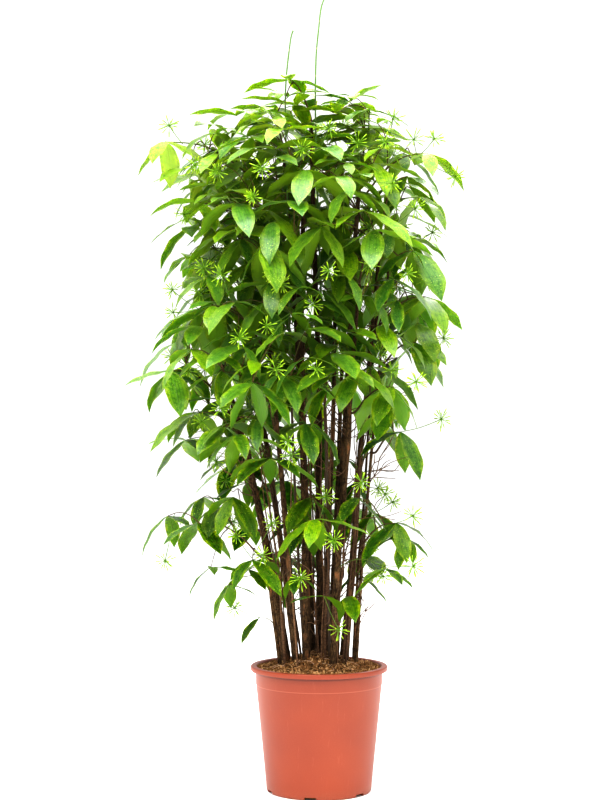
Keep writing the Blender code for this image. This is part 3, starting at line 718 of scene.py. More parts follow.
# a forking twig with its whorls and umbels, or None where its main twig finds no way
def growSpray(root, lead, tip, sideTwigs, leafLength, ball, clearance, draws):
    hubRadius = leafShape["hubRadius"]
    main = [root, lead, *arch(lead, tip, sprayShape["bow"], 3)]
    collar = tubeShape(main[1:3], sprayShape["collarRoom"])
    if not clearance.clearOfOthers(tubeShape(main[1:], sprayShape["radius"] + leafShape["clearance"])):
        return None
    if not clearance.clearOfOthers(collar):
        return None
    twigs = [main]
    clearance.keep(tubeShape(main, hubRadius), tubeShape(main, sprayShape["radius"]))
    clearance.add(*collar)
    side = draws.choice((-1, 1))
    for number in range(sideTwigs):
        for _ in range(sprayShape["twigTries"]):
            twig = forkTwig(main, number, sideTwigs, side, draws)
            end = twig[-1]
            room = crownReach(math.atan2(end.y, end.x), end.z) - crownShape["leafReach"]
            free = [twig[0].lerp(twig[1], sprayShape["forkFree"]), *twig[1:]]
            othersClear = clearance.clearOfOthers(tubeShape(twig, hubRadius + leafShape["clearance"]))
            ownClear = clearance.clearOfOwn(tubeShape(free, hubRadius))
            if end.xy.length < room and othersClear and ownClear:
                twigs.append(twig)
                clearance.keep(tubeShape(twig, hubRadius), tubeShape(free, sprayShape["twigRadius"]))
                break
        side = -side
    whorls = []
    for twig in twigs:
        leaves = leafShape["perWhorl"] + draws.choice((-1, 0, 0, 0))
        whorl = growWhorl(twig[-1], leafLength, leaves, clearance, draws)
        if whorl:
            whorls.append(whorl)
    umbels = [growUmbel(draws.choice(twigs), ball, clearance, draws)]
    return {"twigs": twigs, "whorls": whorls, "umbels": [umbel for umbel in umbels if umbel]}


def leafLengthAt(height):  # leaves are smaller low down and among the new growth at the top
    return leafShape["length"] * valueAt(height, leafShape["lengthAt"])


def growPlant():  # canes, shoots and sprays, and what new growth has to keep clear of
    canes, shoots, ball = canePaths(), shootPaths(), unitBall()
    clearance = Clearance()
    for points, radii in [*canes, *shoots.values()]:
        clearance.add(*tubeShape(points, radii[0] * caneSizes["room"]))
    potAxis = [Vector((0, 0, 0)), up * potSizes["height"]]
    clearance.add(*tubeShape(potAxis, potSizes["rimRadius"] * 1.1))
    clearance.settle()
    sprays = []

    def trySpray(root, lead, tip, sideTwigs, draws):
        spray = growSpray(root, lead, tip, sideTwigs, leafLengthAt(tip.z), ball, clearance, draws)
        clearance.settle()
        if spray:
            sprays.append(spray)
        return bool(spray)

    for number, (points, _) in enumerate(canes):
        draws = random.Random(plantSeed * 100 + number)
        if not caneSizes["canes"][number][-1]:
            continue
        head, along = points[-1], (points[-1] - points[-2]).normalized()
        out = Vector((head.x, head.y, 0)).normalized()
        for _ in range(leafShape["tries"]):
            run, rise = draws.uniform(*sprayShape["headRun"]), draws.uniform(*sprayShape["headRise"])
            tip = head + out * run + up * rise
            if trySpray(head, head + along * sprayShape["collar"], tip, sprayShape["headTwigs"], draws):
                break
    for number, (x, y, z, sideTwigs) in enumerate(crownShape["tips"]):
        draws = random.Random(plantSeed * 500 + number)
        for _ in range(leafShape["tries"]):
            tip = Vector((x, y, z + draws.uniform(-crownShape["smallDrift"], crownShape["smallDrift"])))
            if sprayFromNearest(canes, tip, sideTwigs, trySpray, draws):
                break
    for level, (height, count, sideTwigs) in enumerate(crownShape["rings"]):
        for number in range(count):
            draws = random.Random(plantSeed * 1000 + level * 50 + number)
            for _ in range(leafShape["tries"]):
                turn = draws.uniform(-crownShape["turnDrift"], crownShape["turnDrift"])
                heading = (number + 0.5 * (level % 2) + turn) * math.tau / count
                tipHeight = height + draws.uniform(-crownShape["tipDrift"], crownShape["tipDrift"])
                out = headingVector(heading)
                reach = crownReach(heading, tipHeight - crownShape["reachDrop"])
                tip = out * (reach - crownShape["leafReach"]) + up * tipHeight
                if sprayFromNearest(canes, tip, sideTwigs, trySpray, draws):
                    break
    return canes, shoots, sprays, clearance, ball


# grows a side branch to a tip from the nearest cane that leaves it a way
def sprayFromNearest(canes, tip, sideTwigs, trySpray, draws):
    choices = []
    for path in canes:
        run = (tip - pointAt(path, tip.z)[0]).xy.length
        height = tip.z - run * sprayShape["rise"]
        if path[0][1].z + sprayShape["overFoot"] < height < path[0][-1].z - sprayShape["underHead"]:
            axis, radius = pointAt(path, height)
            choices.append(((tip - axis).length, axis, radius))
    for _, axis, radius in sorted(choices, key=lambda choice: choice[0])[: sprayShape["canesTried"]]:
        out = (tip - axis).xy.to_3d().normalized()
        root = axis + out * (radius + gap)
        if trySpray(root, root + out * sprayShape["collar"], tip, sideTwigs, draws):
            return True
    return False


# more of the crown than the solids hold

fillRule = {
    "seed": 23,
    "twigs": 340,
    "tries": 12000,
    "heights": (  # and how crowded the added twigs stand there
        (0.40, 0.10), (0.60, 0.15), (0.72, 0.3), (0.82, 0.8), (1.00, 1.3), (1.26, 1.2), (1.31, 0.7),
        (1.36, 0.25), (1.39, 0.05),
    ),
    "sides": ((-0.20, 0.8), (-0.10, 1.0), (0.03, 1.0), (0.09, 0.3), (0.14, 0.12)),  # the right side is airier
    "caneView": {"halfWidth": 0.13, "top": 0.80, "share": 0.30},  # few leaves hang before the canes
    "top": 1.27,
    "topRun": 0.17,
    "inner": 0.30,  # the least share of the crown's reach
    "run": (0.018, 0.120),
    "leaves": (2, 3, 3, 4, 4, 5),
    "leafShare": (0.70, 1.08),
    "slender": (0.29, 0.41),
    "tilt": ((0.35, -18), (0.95, -18), (1.15, -8), (1.27, 4), (1.40, 12)),
    "lift": (-24, 26),
    "bend": (22, 64),
    "wished": (  # tips that stand out low on the crown, how many leaves each has and the first leaf's heading
        (-0.108, -0.040, 0.345, 1, -130),
        (-0.262, -0.050, 0.500, 4, 215),
        (-0.215, -0.110, 0.455, 3, 200),
        (-0.300, -0.020, 0.535, 3, 190),
        (-0.175, -0.090, 0.420, 3, 220),
        (-0.130, -0.130, 0.470, 4, 230),
        (0.165, -0.060, 0.505, 4, 330),
        (0.120, -0.130, 0.455, 4, 300),
        (-0.045, -0.130, 0.445, 3, 260),
        (-0.030, -0.120, 0.530, 4, 240),
        (0.052, -0.085, 0.380, 2, 285),
        (0.000, -0.105, 0.390, 2, 225),
    ),
    "wishedRun": 0.20,
    "wishedDrift": 0.012,
    "wishedTries": 12,
    "settleEvery": 8,  # twigs, after which the clearance is worked out anew
    "reachShare": 0.8,
    "leastReach": 0.01,
    "twigRadius": 0.0008,
    "room": 1.5,  # how much wider than itself a twig counts
    "free": 0.6,  # the share of its first step where a twig may touch what it grows from
    "drop": 0.02,  # how far below its tip a twig looks for its start
    "starts": {"shares": (0.25, 0.6, 0.9), "overFoot": 0.06, "perCane": 41},
}
bareShape = {  # thin leafless wood between the canes
    "twigs": 180,
    "tries": 4,  # for each of them
    "steps": 4,
    "sunk": 0.6,  # its start, as a share of its cane's radius
    "free": 0.6,
    "heights": (0.29, 1.08),
    "belowHead": 0.03,  # the least drop from its cane's head
    "rise": (0.1, 1.6),
    "length": (0.04, 0.16),
    "bend": 0.35,
    "forkBend": 0.9,
    "forkShare": 0.4,  # of the twig's length
    "room": 0.0012,
    "reach": ((0.33, 0.10), (1.33, 0.55)),  # how far from the pot's axis a twig may end, by height
    "radius": (0.0010, 0.0005),
}
stemShape = {  # thin upright stems that rise from the soil
    "stems": 26,  # at most
    "tries": 6,  # for each of them
    "spread": 0.085,
    "sunk": 0.010,
    "turn": 0.5,
    "lean": (0.05, 0.30),
    "steps": 6,
    "stepLength": (0.06, 0.12),
    "bend": 0.07,
    "room": 0.0028,
    "reach": 0.15,  # how far from the pot's axis a stem may end
    "radius": (0.0014, 0.0030),
    "tipShare": 0.4,
}


def crowding(height):
    return valueAt(height, fillRule["heights"]) / max(share for _, share in fillRule["heights"])


def airiness(tip):  # the share of the twigs that grow where their tip would be
    view = fillRule["caneView"]
    beforeCanes = tip.y < 0 and abs(tip.x) < view["halfWidth"] and tip.z < view["top"]
    return valueAt(tip.x, fillRule["sides"]) * (view["share"] if beforeCanes else 1)


def treeOf(spots):
    tree = KDTree(len(spots))
    for number, spot in enumerate(spots):
        tree.insert(spot, number)
    tree.balance()
    return tree


def carrierPoints(canes, sprays):  # where a new twig may start
    spots, starts = [], fillRule["starts"]
    for spray in sprays:
        for twig in spray["twigs"]:
            for first, second in zip(twig[1:], twig[2:]):
                spots += [first.lerp(second, share) for share in starts["shares"]]
    for path in canes:
        low, high = path[0][1].z + starts["overFoot"], path[0][-1].z
        spots += [pointAt(path, height)[0] for height in taper(low, high, starts["perCane"])]
    return treeOf(spots)


def growTwig(tip, leaves, carriers, longest, clearance, draws, facing=None):  # a twig with one whorl, or None
    spot, _, run = carriers.find(tip - up * fillRule["drop"])
    if not fillRule["run"][0] < run < longest:
        return None
    twig = [spot, *arch(spot, tip, sprayShape["bow"], 3)]
    free = [spot.lerp(twig[1], fillRule["free"]), *twig[1:]]
    stem = tubeShape(free, fillRule["twigRadius"] * fillRule["room"])
    if not (clearance.clearOfOthers(stem) and clearance.clearOfOwn(stem)):
        return None
    mark = clearance.mark()
    clearance.keep(tubeShape(twig, leafShape["hubRadius"]), stem)
    length = leafLengthAt(tip.z) * draws.uniform(*fillRule["leafShare"])
    whorl = growWhorl(tip, length, leaves, clearance, draws, fillRule, facing)
    if len(whorl) < min(leaves, 2):
        clearance.goBack(mark)
        return None
    return {"twig": twig, "whorl": whorl}


def fillCrown(canes, sprays, clearance):
    draws = random.Random(fillRule["seed"])
    carriers = carrierPoints(canes, sprays)
    low, high = fillRule["heights"][0][0], fillRule["heights"][-1][0]
    added = []
    for x, y, z, leaves, facing in fillRule["wished"]:
        for _ in range(fillRule["wishedTries"]):
            tip = Vector((x, y, z)) + scatter(draws, fillRule["wishedDrift"])
            grown = growTwig(tip, leaves, carriers, fillRule["wishedRun"], clearance, draws, facing)
            if grown:
                added.append(grown)
                break
    clearance.settle()
    print("wished twigs", len(added))
    for _ in range(fillRule["tries"]):
        height = draws.uniform(low, high)
        if draws.random() > crowding(height):
            continue
        heading = draws.uniform(0, math.tau)
        reach = crownReach(heading, height) - crownShape["leafReach"] * fillRule["reachShare"]
        share = math.sqrt(draws.uniform(fillRule["inner"] ** 2, 1))
        tip = headingVector(heading) * max(reach, fillRule["leastReach"]) * share + up * height
        if draws.random() > airiness(tip):
            continue
        longest = fillRule["topRun"] if height > fillRule["top"] else fillRule["run"][1]
        grown = growTwig(tip, draws.choice(fillRule["leaves"]), carriers, longest, clearance, draws)
        if not grown:
            continue
        added.append(grown)
        if len(added) % fillRule["settleEvery"] == 0:
            clearance.settle()
        if len(added) == fillRule["twigs"]:
            break
    clearance.settle()
    return added


umbelSpots = {
    "places": (  # where umbels stand out on the crown's front: across, and height
        (-0.129, 1.173), (-0.075, 1.288), (-0.109, 1.233), (-0.046, 1.242), (-0.258, 1.131), (-0.199, 1.217),
        (0.181, 1.286), (0.133, 1.280), (0.274, 1.205), (0.024, 1.338), (-0.032, 1.262), (0.137, 1.203),
        (0.191, 1.141), (0.226, 1.105), (-0.284, 0.992), (-0.109, 0.915), (-0.151, 0.887), (-0.268, 0.897),
        (-0.250, 0.830), (-0.310, 0.786), (-0.083, 1.032), (-0.081, 0.824), (-0.266, 0.712), (0.012, 1.020),
        (0.000, 0.832), (0.187, 0.814), (0.234, 0.738), (0.183, 1.020), (-0.060, 0.683), (-0.052, 0.659),
        (-0.200, 0.655), (-0.242, 0.530), (-0.308, 0.452), (-0.159, 0.510), (-0.119, 0.464), (-0.159, 0.365),
        (-0.099, 0.522), (-0.042, 0.411), (-0.026, 0.530), (0.032, 0.492), (0.083, 0.603), (0.181, 0.448),
        (0.133, 0.421), (0.032, 0.319),
    ),
    "tries": 40,
    "depth": (0.62, 1.02),  # share of the crown's reach
    "drift": 0.008,
    "stalk": (0.016, 0.095),
    "stalkFree": 0.25,
    "footShares": (0.1, 0.35, 0.6, 0.85),
    "feetTried": 5,
    "room": 0.001,
    "others": 60,  # that stand anywhere in the crown
    "othersTries": 12,  # for each of them
    "othersFeet": (0.1, 0.9),
    "lowest": 0.42,
    "lift": (-30, 70),
    "turn": 1.0,  # either way from straight out of the crown
}


def onCrownFront(x, z, depth):  # the place behind which the eye sees x and z in the pot's own plane
    reach = crownReach(-math.pi / 2, z) * depth
    front = math.sqrt(max(reach * reach - x * x, 0.0004))
    eyeX, eyeY, eyeZ = eyePlace
    nearness = 1 + front / eyeY
    return Vector((eyeX + (x - eyeX) * nearness, -front, eyeZ + (z - eyeZ) * nearness))


def growMoreUmbels(sprays, added, ball, clearance):
    draws = random.Random(fillRule["seed"] + 1)
    carriers = [twig for spray in sprays for twig in spray["twigs"]] + [grown["twig"] for grown in added]
    umbels = []

    def tryUmbel(foot, centre):
        inside = all(cadBox[0][axis] < centre[axis] < cadBox[1][axis] for axis in (0, 1))
        if centre.z > umbelShape["top"] or not inside:
            return False
        buds = [centre + point * (umbelShape["ray"] + umbelSpots["room"]) for point in ball[0]], ball[1]
        stalk = tubeShape([foot.lerp(centre, umbelSpots["stalkFree"]), centre], umbelShape["stalkRadius"])
        if not (clearance.clearOfOthers(buds) and clearance.clearOfOthers(stalk)):
            return False
        umbels.append((foot, centre))
        clearance.keep(buds, buds)
        clearance.settle()
        return True

    tree = treeOf([twig[-2].lerp(twig[-1], share) for twig in carriers for share in umbelSpots["footShares"]])
    shortest, longest = umbelSpots["stalk"]
    for x, z in umbelSpots["places"]:
        for _ in range(umbelSpots["tries"]):
            centre = onCrownFront(x, z, draws.uniform(*umbelSpots["depth"]))
            centre += scatter(draws, umbelSpots["drift"])
            nearest = tree.find_n(centre, umbelSpots["feetTried"])
            feet = [foot for foot, _, run in nearest if shortest < run < longest]
            if feet and tryUmbel(draws.choice(feet), centre):
                break
    print("umbels where the photo shows them", len(umbels))
    for _ in range(umbelSpots["others"] * umbelSpots["othersTries"]):
        twig = draws.choice(carriers)
        foot = twig[-2].lerp(twig[-1], draws.uniform(*umbelSpots["othersFeet"]))
        if foot.z < umbelSpots["lowest"]:
            continue
        outwards = math.atan2(foot.y, foot.x) + draws.uniform(-umbelSpots["turn"], umbelSpots["turn"])
        lift = math.radians(draws.uniform(*umbelSpots["lift"]))
        way = headingVector(outwards) * math.cos(lift) + up * math.sin(lift)
        tryUmbel(foot, foot + way * draws.uniform(*umbelShape["stalk"]))
        if len(umbels) >= umbelSpots["others"] + len(umbelSpots["places"]):
            break
    return umbels


def growBareTwigs(canes, clearance, draws):  # each with a fork
    lowest, highest = bareShape["heights"]
    twigs = []
    for _ in range(bareShape["twigs"] * bareShape["tries"]):
        path = draws.choice(canes)
        height = draws.uniform(lowest, min(path[0][-1].z - bareShape["belowHead"], highest))
        root, radius = pointAt(path, height)
        heading = draws.uniform(0, math.tau)
        way = (headingVector(heading) + up * draws.uniform(*bareShape["rise"])).normalized()
        length = draws.uniform(*bareShape["length"])
        points = [root + way * radius * bareShape["sunk"]]
        for _ in range(bareShape["steps"]):
            bent = (way + scatter(draws, bareShape["bend"])).normalized()
            points.append(points[-1] + bent * length / bareShape["steps"])
        forkWay = (way + scatter(draws, bareShape["forkBend"])).normalized()
        fork = points[2] + forkWay * length * bareShape["forkShare"]
        free = [points[0].lerp(points[1], bareShape["free"]), *points[1:]]
        stem = tubeShape(free, bareShape["room"])
        reach = valueAt(height, bareShape["reach"])
        if points[-1].xy.length < reach and clearance.clearOfOthers(stem):
            twigs += [points, [points[2], fork]]
        if len(twigs) == bareShape["twigs"] * 2:
            break
    return twigs


def growThinStems(clearance, draws):
    stems = []
    for _ in range(stemShape["stems"] * stemShape["tries"]):
        heading, run = draws.uniform(0, math.tau), stemShape["spread"] * math.sqrt(draws.random())
        foot = headingVector(heading) * run
        foot.z = soilHeight(run) - stemShape["sunk"]
        turn = draws.uniform(-stemShape["turn"], stemShape["turn"])
        lean = headingVector(heading + turn) * draws.uniform(*stemShape["lean"]) + up
        points = [foot]
        for _ in range(stemShape["steps"]):
            way = (lean + scatter(draws, stemShape["bend"])).normalized()
            points.append(points[-1] + way * draws.uniform(*stemShape["stepLength"]))
        room = tubeShape(points[1:], stemShape["room"])
        if points[-1].xy.length < stemShape["reach"] and clearance.clearOfOthers(room):
            stems.append(points)
            clearance.keep(room, room)
            clearance.settle()
        if len(stems) == stemShape["stems"]:
            break
    return stems


# meshes that the trees grow from

def meshObject(name, points, edges=(), faces=()):
    mesh = bpy.data.meshes.new(name)
    mesh.from_pydata([tuple(point) for point in points], list(edges), list(faces))
    obj = bpy.data.objects.new(name, mesh)
    bpy.context.scene.collection.objects.link(obj)
    return obj


def giveAttribute(mesh, name, values, vector=False):
    layer = mesh.attributes.new(name, "FLOAT_VECTOR" if vector else "FLOAT", "POINT")
    flat = np.array(values, np.float32).ravel()
    layer.data.foreach_set("vector" if vector else "value", flat)


def strandObject(name, strands):  # strands: points, radii, ripeness at both ends, colour shift
    points, edges, thick, ripe, tint, phase = [], [], [], [], [], []
    for number, (path, radii, ripeness, shift) in enumerate(strands):
        start = len(points)
        points += path
        edges += [(start + step, start + step + 1) for step in range(len(path) - 1)]
        thick += radii
        ripe += taper(*ripeness, len(path))
        tint += [shift] * len(path)
        phase += [number * 0.37 % 1] * len(path)
    obj = meshObject(name, points, edges)
    for label, values in (("thick", thick), ("ripe", ripe), ("tint", tint), ("phase", phase)):
        giveAttribute(obj.data, label, values)
    return obj


skinDetail = {
    "waver": {"Scale": 17.0, "Detail": 1.0},  # the noise that makes the rings' spacing uneven
    "waverShare": 1.6,
    "ringWidth": 0.16,
    "grain": {"Scale": 260.0, "Detail": 2.0},
    "squeeze": (1, 1, 0.16),  # the grain runs along a stem
}


def strandGrower():  # round stems along edges, with ring scars and a rough skin
    grower = Grower("stems", sides="int", step="float", rings="float", spacing="float", skin="float",
                    material="material")
    line = grower.node("GeometryNodeMeshToCurve", None, {"Mesh": grower.given()})
    line = grower.node("GeometryNodeCurveSplineType", {"spline_type": "CATMULL_ROM"}, {"Curve": line})
    sockets = {"Curve": line, "Length": grower.given("step")}
    line = grower.node("GeometryNodeResampleCurve", {"mode": "LENGTH"}, sockets)
    reach = grower.node("GeometryNodeSplineParameter", None, None, "Length")
    line = grower.store(line, "reach", reach)
    place = grower.node("GeometryNodeInputPosition")
    waver = grower.node("ShaderNodeTexNoise", None, {"Vector": place, **skinDetail["waver"]})
    turn = reach / grower.given("spacing") + grower.named("phase") + waver * skinDetail["waverShare"]
    ring = grower.between(abs(turn.math("FRACT") - 0.5), skinDetail["ringWidth"], 0.0, soft=True)
    size = grower.named("thick") * (grower.given("rings") * ring + 1)
    sockets = {"Resolution": grower.given("sides"), "Radius": 1.0}
    profile = grower.node("GeometryNodeCurvePrimitiveCircle", None, sockets, "Curve")
    sockets = {"Curve": line, "Profile Curve": profile, "Scale": size, "Fill Caps": True}
    skin = grower.node("GeometryNodeCurveToMesh", None, sockets)
    squeezed = grower.vector("MULTIPLY", place, skinDetail["squeeze"])
    rough = grower.node("ShaderNodeTexNoise", None, {"Vector": squeezed, **skinDetail["grain"]}) - 0.5
    normal = grower.node("GeometryNodeInputNormal")
    offset = grower.scaled(normal, rough * grower.named("thick") * grower.given("skin"))
    skin = grower.node("GeometryNodeSetPosition", None, {"Geometry": skin, "Offset": offset})
    grower.finish(grower.node("GeometryNodeSetShadeSmooth", None, {"Geometry": skin}))
    return grower


# leaves

leafDetail = {
    "thickness": 0.00045,
    "stalk": 0.0009,  # half the width of a leaf's own stalk
    "fold": 0.11,
    "wave": 0.08,
    "stations": (0, 0.03, 0.08, 0.15, 0.24, 0.34, 0.44, 0.54, 0.64, 0.73, 0.82, 0.90, 0.96),
    "across": (-1, -0.55, 0, 0.55, 1),
    "shoulder": 0.80,  # the finer outline's powers, fuller than the solid blade's
    "drip": 0.80,
    "dripFrom": 0.78,  # the drip tip's start along the blade
    "dripShare": 0.55,
    "slimmer": 0.93,  # of the solid blade's width
    "newColour": srgb(138, 170, 8),
    "midColour": srgb(99, 133, 18),
    "deepColour": srgb(22, 60, 0),
    "coolMid": srgb(64, 119, 48),
    "coolDeep": srgb(8, 54, 14),
    "underColour": srgb(120, 157, 36),
    # painted light: the colour of undersides high in the crown, as if lit through from above
    "paintedBacklitUnder": srgb(176, 194, 44),
    "fleckColour": srgb(214, 222, 110),
    "marginColour": srgb(128, 154, 26),
    "mottleShade": (0.42, 0.62, 0.50),
    "veinShade": (0.30, 0.44, 0.34),
    "innerShade": (0.38, 0.50, 0.12),
    "lowShade": (0.66, 0.70, 0.40),
    "ribColour": srgb(150, 190, 90),
    "shader": {  # with the light that comes through the blade
        "Coat Roughness": 0.33,
        "IOR": 1.2,
        "Subsurface Weight": 0.32,
        "Subsurface Radius": (0.62, 1.0, 0.05),
        "Subsurface Scale": 0.003,
    },
    "ripples": 16,  # how fast they follow each other along the edge
    "rippleShift": 20,  # from leaf to leaf
    "curl": (1.6, 0.6),  # steep near the midrib, flatter towards the edge
    "stalkEnd": 0.9,
    "twist": 16,  # degrees either way
    "sickle": 0.05,
    "deepFrom": 1.15,  # the share of the crown's reach where the shade of the others starts
    "leastReach": 0.05,
    "young": ((0.4, 0.10), (0.9, 0.06), (1.2, 0.14), (1.30, 0.50), (1.37, 0.90)),  # the share of it by height
    "youngOutside": (0.6, 0.8),  # and how that grows from the middle of the crown to its outline
    "youngAge": (0.55, 1.0),
    "oldAge": (0.0, 0.28),
    "ageDrift": 0.1,
}


def leafTemplate():  # a unit blade whose points know their place along, across and through it
    stations, across = leafDetail["stations"], leafDetail["across"]
    places, faces = [], []
    for along in stations:
        places += [(along, over, 1 if abs(over) < 1 else 0) for over in across]
        places += [(along, over, -1 - (over == 0) * (1 - along)) for over in across[1:-1]]
    wide = len(across)
    ring = wide * 2 - 2
    lower = [0, *range(wide, ring), wide - 1]  # the underside shares the two edges
    for step in range(len(stations) - 1):
        a, b = step * ring, (step + 1) * ring
        for side in range(wide - 1):
            faces.append((a + side, a + side + 1, b + side + 1, b + side))
            faces.append((a + lower[side + 1], a + lower[side], b + lower[side], b + lower[side + 1]))
    last, tip = (len(stations) - 1) * ring, len(places)
    places.append((1, 0, 0))
    for side in range(wide - 1):
        faces.append((last + side, last + side + 1, tip))
        faces.append((last + lower[side + 1], last + lower[side], tip))
    faces.append((*range(wide - 1, -1, -1), *range(wide, ring)))
    template = meshObject("leafTemplate", places, (), faces)
    giveAttribute(template.data, "blade", places, vector=True)
    shape = bmesh.new()
    shape.from_mesh(template.data)
    for face in shape.faces:
        face.smooth = True
    for edge in shape.edges:
        edge.smooth = not all(abs(places[vertex.index][2]) < 0.5 for vertex in edge.verts)
    shape.to_mesh(template.data)
    shape.free()
    return template


def leafGrower():
    grower = Grower("leafBlades", template="object", fold="float", wave="float", thickness="float",
                    stalk="float", material="material")
    sockets = {"Points": grower.given(), "Instance": grower.template()}
    blades = grower.node("GeometryNodeInstanceOnPoints", None, sockets)
    blades = grower.node("GeometryNodeRealizeInstances", None, {"Geometry": blades})
    along, over, side = grower.parts(grower.named("blade", vector=True))
    lift, droop, heading = grower.named("lift"), grower.named("droop"), grower.named("heading")
    length, width = grower.named("span"), grower.named("width")
    roll = grower.named("roll") + grower.named("twist") * along
    turn = droop - lift
    angle = lift + turn * along
    run = length / turn * (angle.math("SINE") - lift.math("SINE"))
    rise = length / turn * (lift.math("COSINE") - angle.math("COSINE"))
    cosine, sine = heading.math("COSINE"), heading.math("SINE")
    across = grower.combined(-sine, cosine, 0.0)
    face = grower.combined(-(cosine * angle.math("SINE")), -(sine * angle.math("SINE")), angle.math("COSINE"))
    rollCosine, rollSine = roll.math("COSINE"), roll.math("SINE")
    turned = grower.vector("ADD", grower.scaled(across, rollCosine), grower.scaled(face, rollSine))
    face = grower.vector("SUBTRACT", grower.scaled(face, rollCosine), grower.scaled(across, rollSine))
    shoulder, drip = leafDetail["shoulder"], leafDetail["drip"]
    peak = shoulder / (shoulder + drip)
    greatest = peak**shoulder * (1 - peak) ** drip
    outline = along**shoulder * (1 - along) ** drip / greatest
    outline = outline * (1 - grower.between(along, leafDetail["dripFrom"], 1.0) * leafDetail["dripShare"])
    stalk = grower.given("stalk") * grower.between(along, 1.0, leafDetail["stalkEnd"])
    half = (width * leafDetail["slimmer"] * outline / 2).math("MAXIMUM", stalk)
    edge = abs(over)
    ripple = (along * leafDetail["ripples"] + grower.named("tone") * leafDetail["rippleShift"]).math("SINE")
    ripple = ripple * edge * edge * grower.given("wave")
    most, less = leafDetail["curl"]
    curl = edge * (most - edge * less) * grower.given("fold") + ripple
    raised = half * curl + side * grower.given("thickness") / 2
    sideways = half * over + length * grower.named("sickle") * along * along
    centre = grower.combined(cosine * run, sine * run, rise)
    place = grower.vector("ADD", grower.named("hub", vector=True), centre)
    place = grower.vector("ADD", place, grower.scaled(turned, sideways))
    place = grower.vector("ADD", place, grower.scaled(face, raised))
    grower.finish(grower.node("GeometryNodeSetPosition", None, {"Geometry": blades, "Position": place}))
    return grower


def depthInCrown(leaf):  # 0 at the crown's outline, 1 at its middle
    middle = leaf.station(0.5)[0]
    reach = crownReach(math.atan2(middle.y, middle.x), middle.z)
    share = middle.xy.length / max(reach, leafDetail["leastReach"])
    return min(max(leafDetail["deepFrom"] - share, 0.0), 1.0)


def leafPoints(name, leaves):  # leaves: a leaf and its age, from old to new
    draws = random.Random(plantSeed + len(leaves))
    twist, sickle = leafDetail["twist"], leafDetail["sickle"]
    source = meshObject(name + "Points", [leaf.hub for leaf, _ in leaves])
    table = {
        "heading": [leaf.heading for leaf, _ in leaves],
        "span": [leaf.length for leaf, _ in leaves],
        "width": [leaf.width for leaf, _ in leaves],
        "lift": [leaf.lift for leaf, _ in leaves],
        "droop": [leaf.droop for leaf, _ in leaves],
        "roll": [leaf.roll for leaf, _ in leaves],
        "twist": [math.radians(draws.uniform(-twist, twist)) for _ in leaves],
        "sickle": [draws.uniform(-sickle, sickle) for _ in leaves],
        "age": [age for _, age in leaves],
        "depth": [depthInCrown(leaf) for leaf, _ in leaves],
        "tone": [draws.random() for _ in leaves],
    }
    for label, values in table.items():
        giveAttribute(source.data, label, values)
    giveAttribute(source.data, "hub", [tuple(leaf.hub) for leaf, _ in leaves], vector=True)
    return source


def leafPaint():
    paint = Paint("glossyLeaf", leafDetail["shader"])
    _, over, side = paint.parts(paint.attribute("blade", "Vector"))
    age, tone, place = paint.attribute("age"), paint.attribute("tone"), paint.place()
    cloud = paint.noise(place, 34.0, 3)
    speckle = paint.noise(place, 420.0, 2)
    level = paint.parts(place)[2]
    high = paint.between(level, 0.95, 1.36)
    middle = paint.between(level, 0.60, 0.80) * paint.between(level, 1.34, 1.14)
    # painted light: the blades' tone is lifted towards the top of the crown and in a band across its middle
    # heights
    light = paint.between(tone * 0.75 + cloud * 0.5 + high * 0.22 + middle * 0.50, 0.20, 0.95)
    cool = paint.between((tone * 41).math("SINE"), -0.3, 0.8, soft=True) * 0.8
    deepGreen = paint.mixed(cool, leafDetail["deepColour"], leafDetail["coolDeep"])
    midGreen = paint.mixed(cool, leafDetail["midColour"], leafDetail["coolMid"])
    green = paint.mixed(light, deepGreen, midGreen)
    colour = paint.mixed(age, green, leafDetail["newColour"])
    vein = paint.between((over * 22).math("COSINE"), 0.25, 1.0, soft=True)
    mottle = paint.between(paint.noise(place, 130.0, 3), 0.50, 0.60)
    colour = paint.mixed(mottle * 0.80, colour, leafDetail["mottleShade"], "MULTIPLY")
    colour = paint.mixed(vein * 0.50, colour, leafDetail["veinShade"], "MULTIPLY")
    margin = paint.between(abs(over) + cloud * 0.5, 0.62, 1.0, soft=True) * (1 - mottle * 0.5)
    colour = paint.mixed(margin * 0.42, colour, leafDetail["marginColour"])
    rib = paint.between(abs(over), 0.055, 0.02)
    colour = paint.mixed(rib * 0.18, colour, leafDetail["ribColour"])
    fleck = paint.between(speckle, 0.63, 0.69) * paint.between(cloud, 0.44, 0.56)
    colour = paint.mixed(fleck * 0.75, colour, leafDetail["fleckColour"])
    # painted shade: blades deeper inside the crown are darkened, on both faces
    deep = paint.between(paint.attribute("depth"), 0.32, 1.0)
    colour = paint.mixed(deep, colour, leafDetail["innerShade"], "MULTIPLY")
    low = paint.between(level, 0.85, 0.45)
    below = paint.between(side, -0.3, -0.7)
    # painted light: undersides high in the crown, the young ones most, are painted pale yellow-green as if
    # lit through from above
    pale = paint.mixed(0.45 - age * 0.25 - high * 0.30, leafDetail["underColour"], green)
    pale = paint.mixed(high * (0.35 + age * 0.65), pale, leafDetail["paintedBacklitUnder"])
    pale = paint.mixed(deep * 0.8, pale, leafDetail["innerShade"], "MULTIPLY")
    colour = paint.mixed(below, colour, pale)
    # painted shade: blades low on the crown are darkened, on both faces
    colour = paint.mixed(low, colour, leafDetail["lowShade"], "MULTIPLY")
    rough = 0.28 + cloud * 0.16 + below * 0.25 + deep * 0.25
    height = vein * -0.5 - rib * 1.2 + speckle * 0.35
    # the gloss is weaker on the undersides; inside the crown and low down it is cut back as painted shade
    coat = 0.86 - deep * 0.76 - below * 0.10 - low * 0.60
    return paint.finish(colour, rough, height, 0.0005, 0.55, coat)


# wood

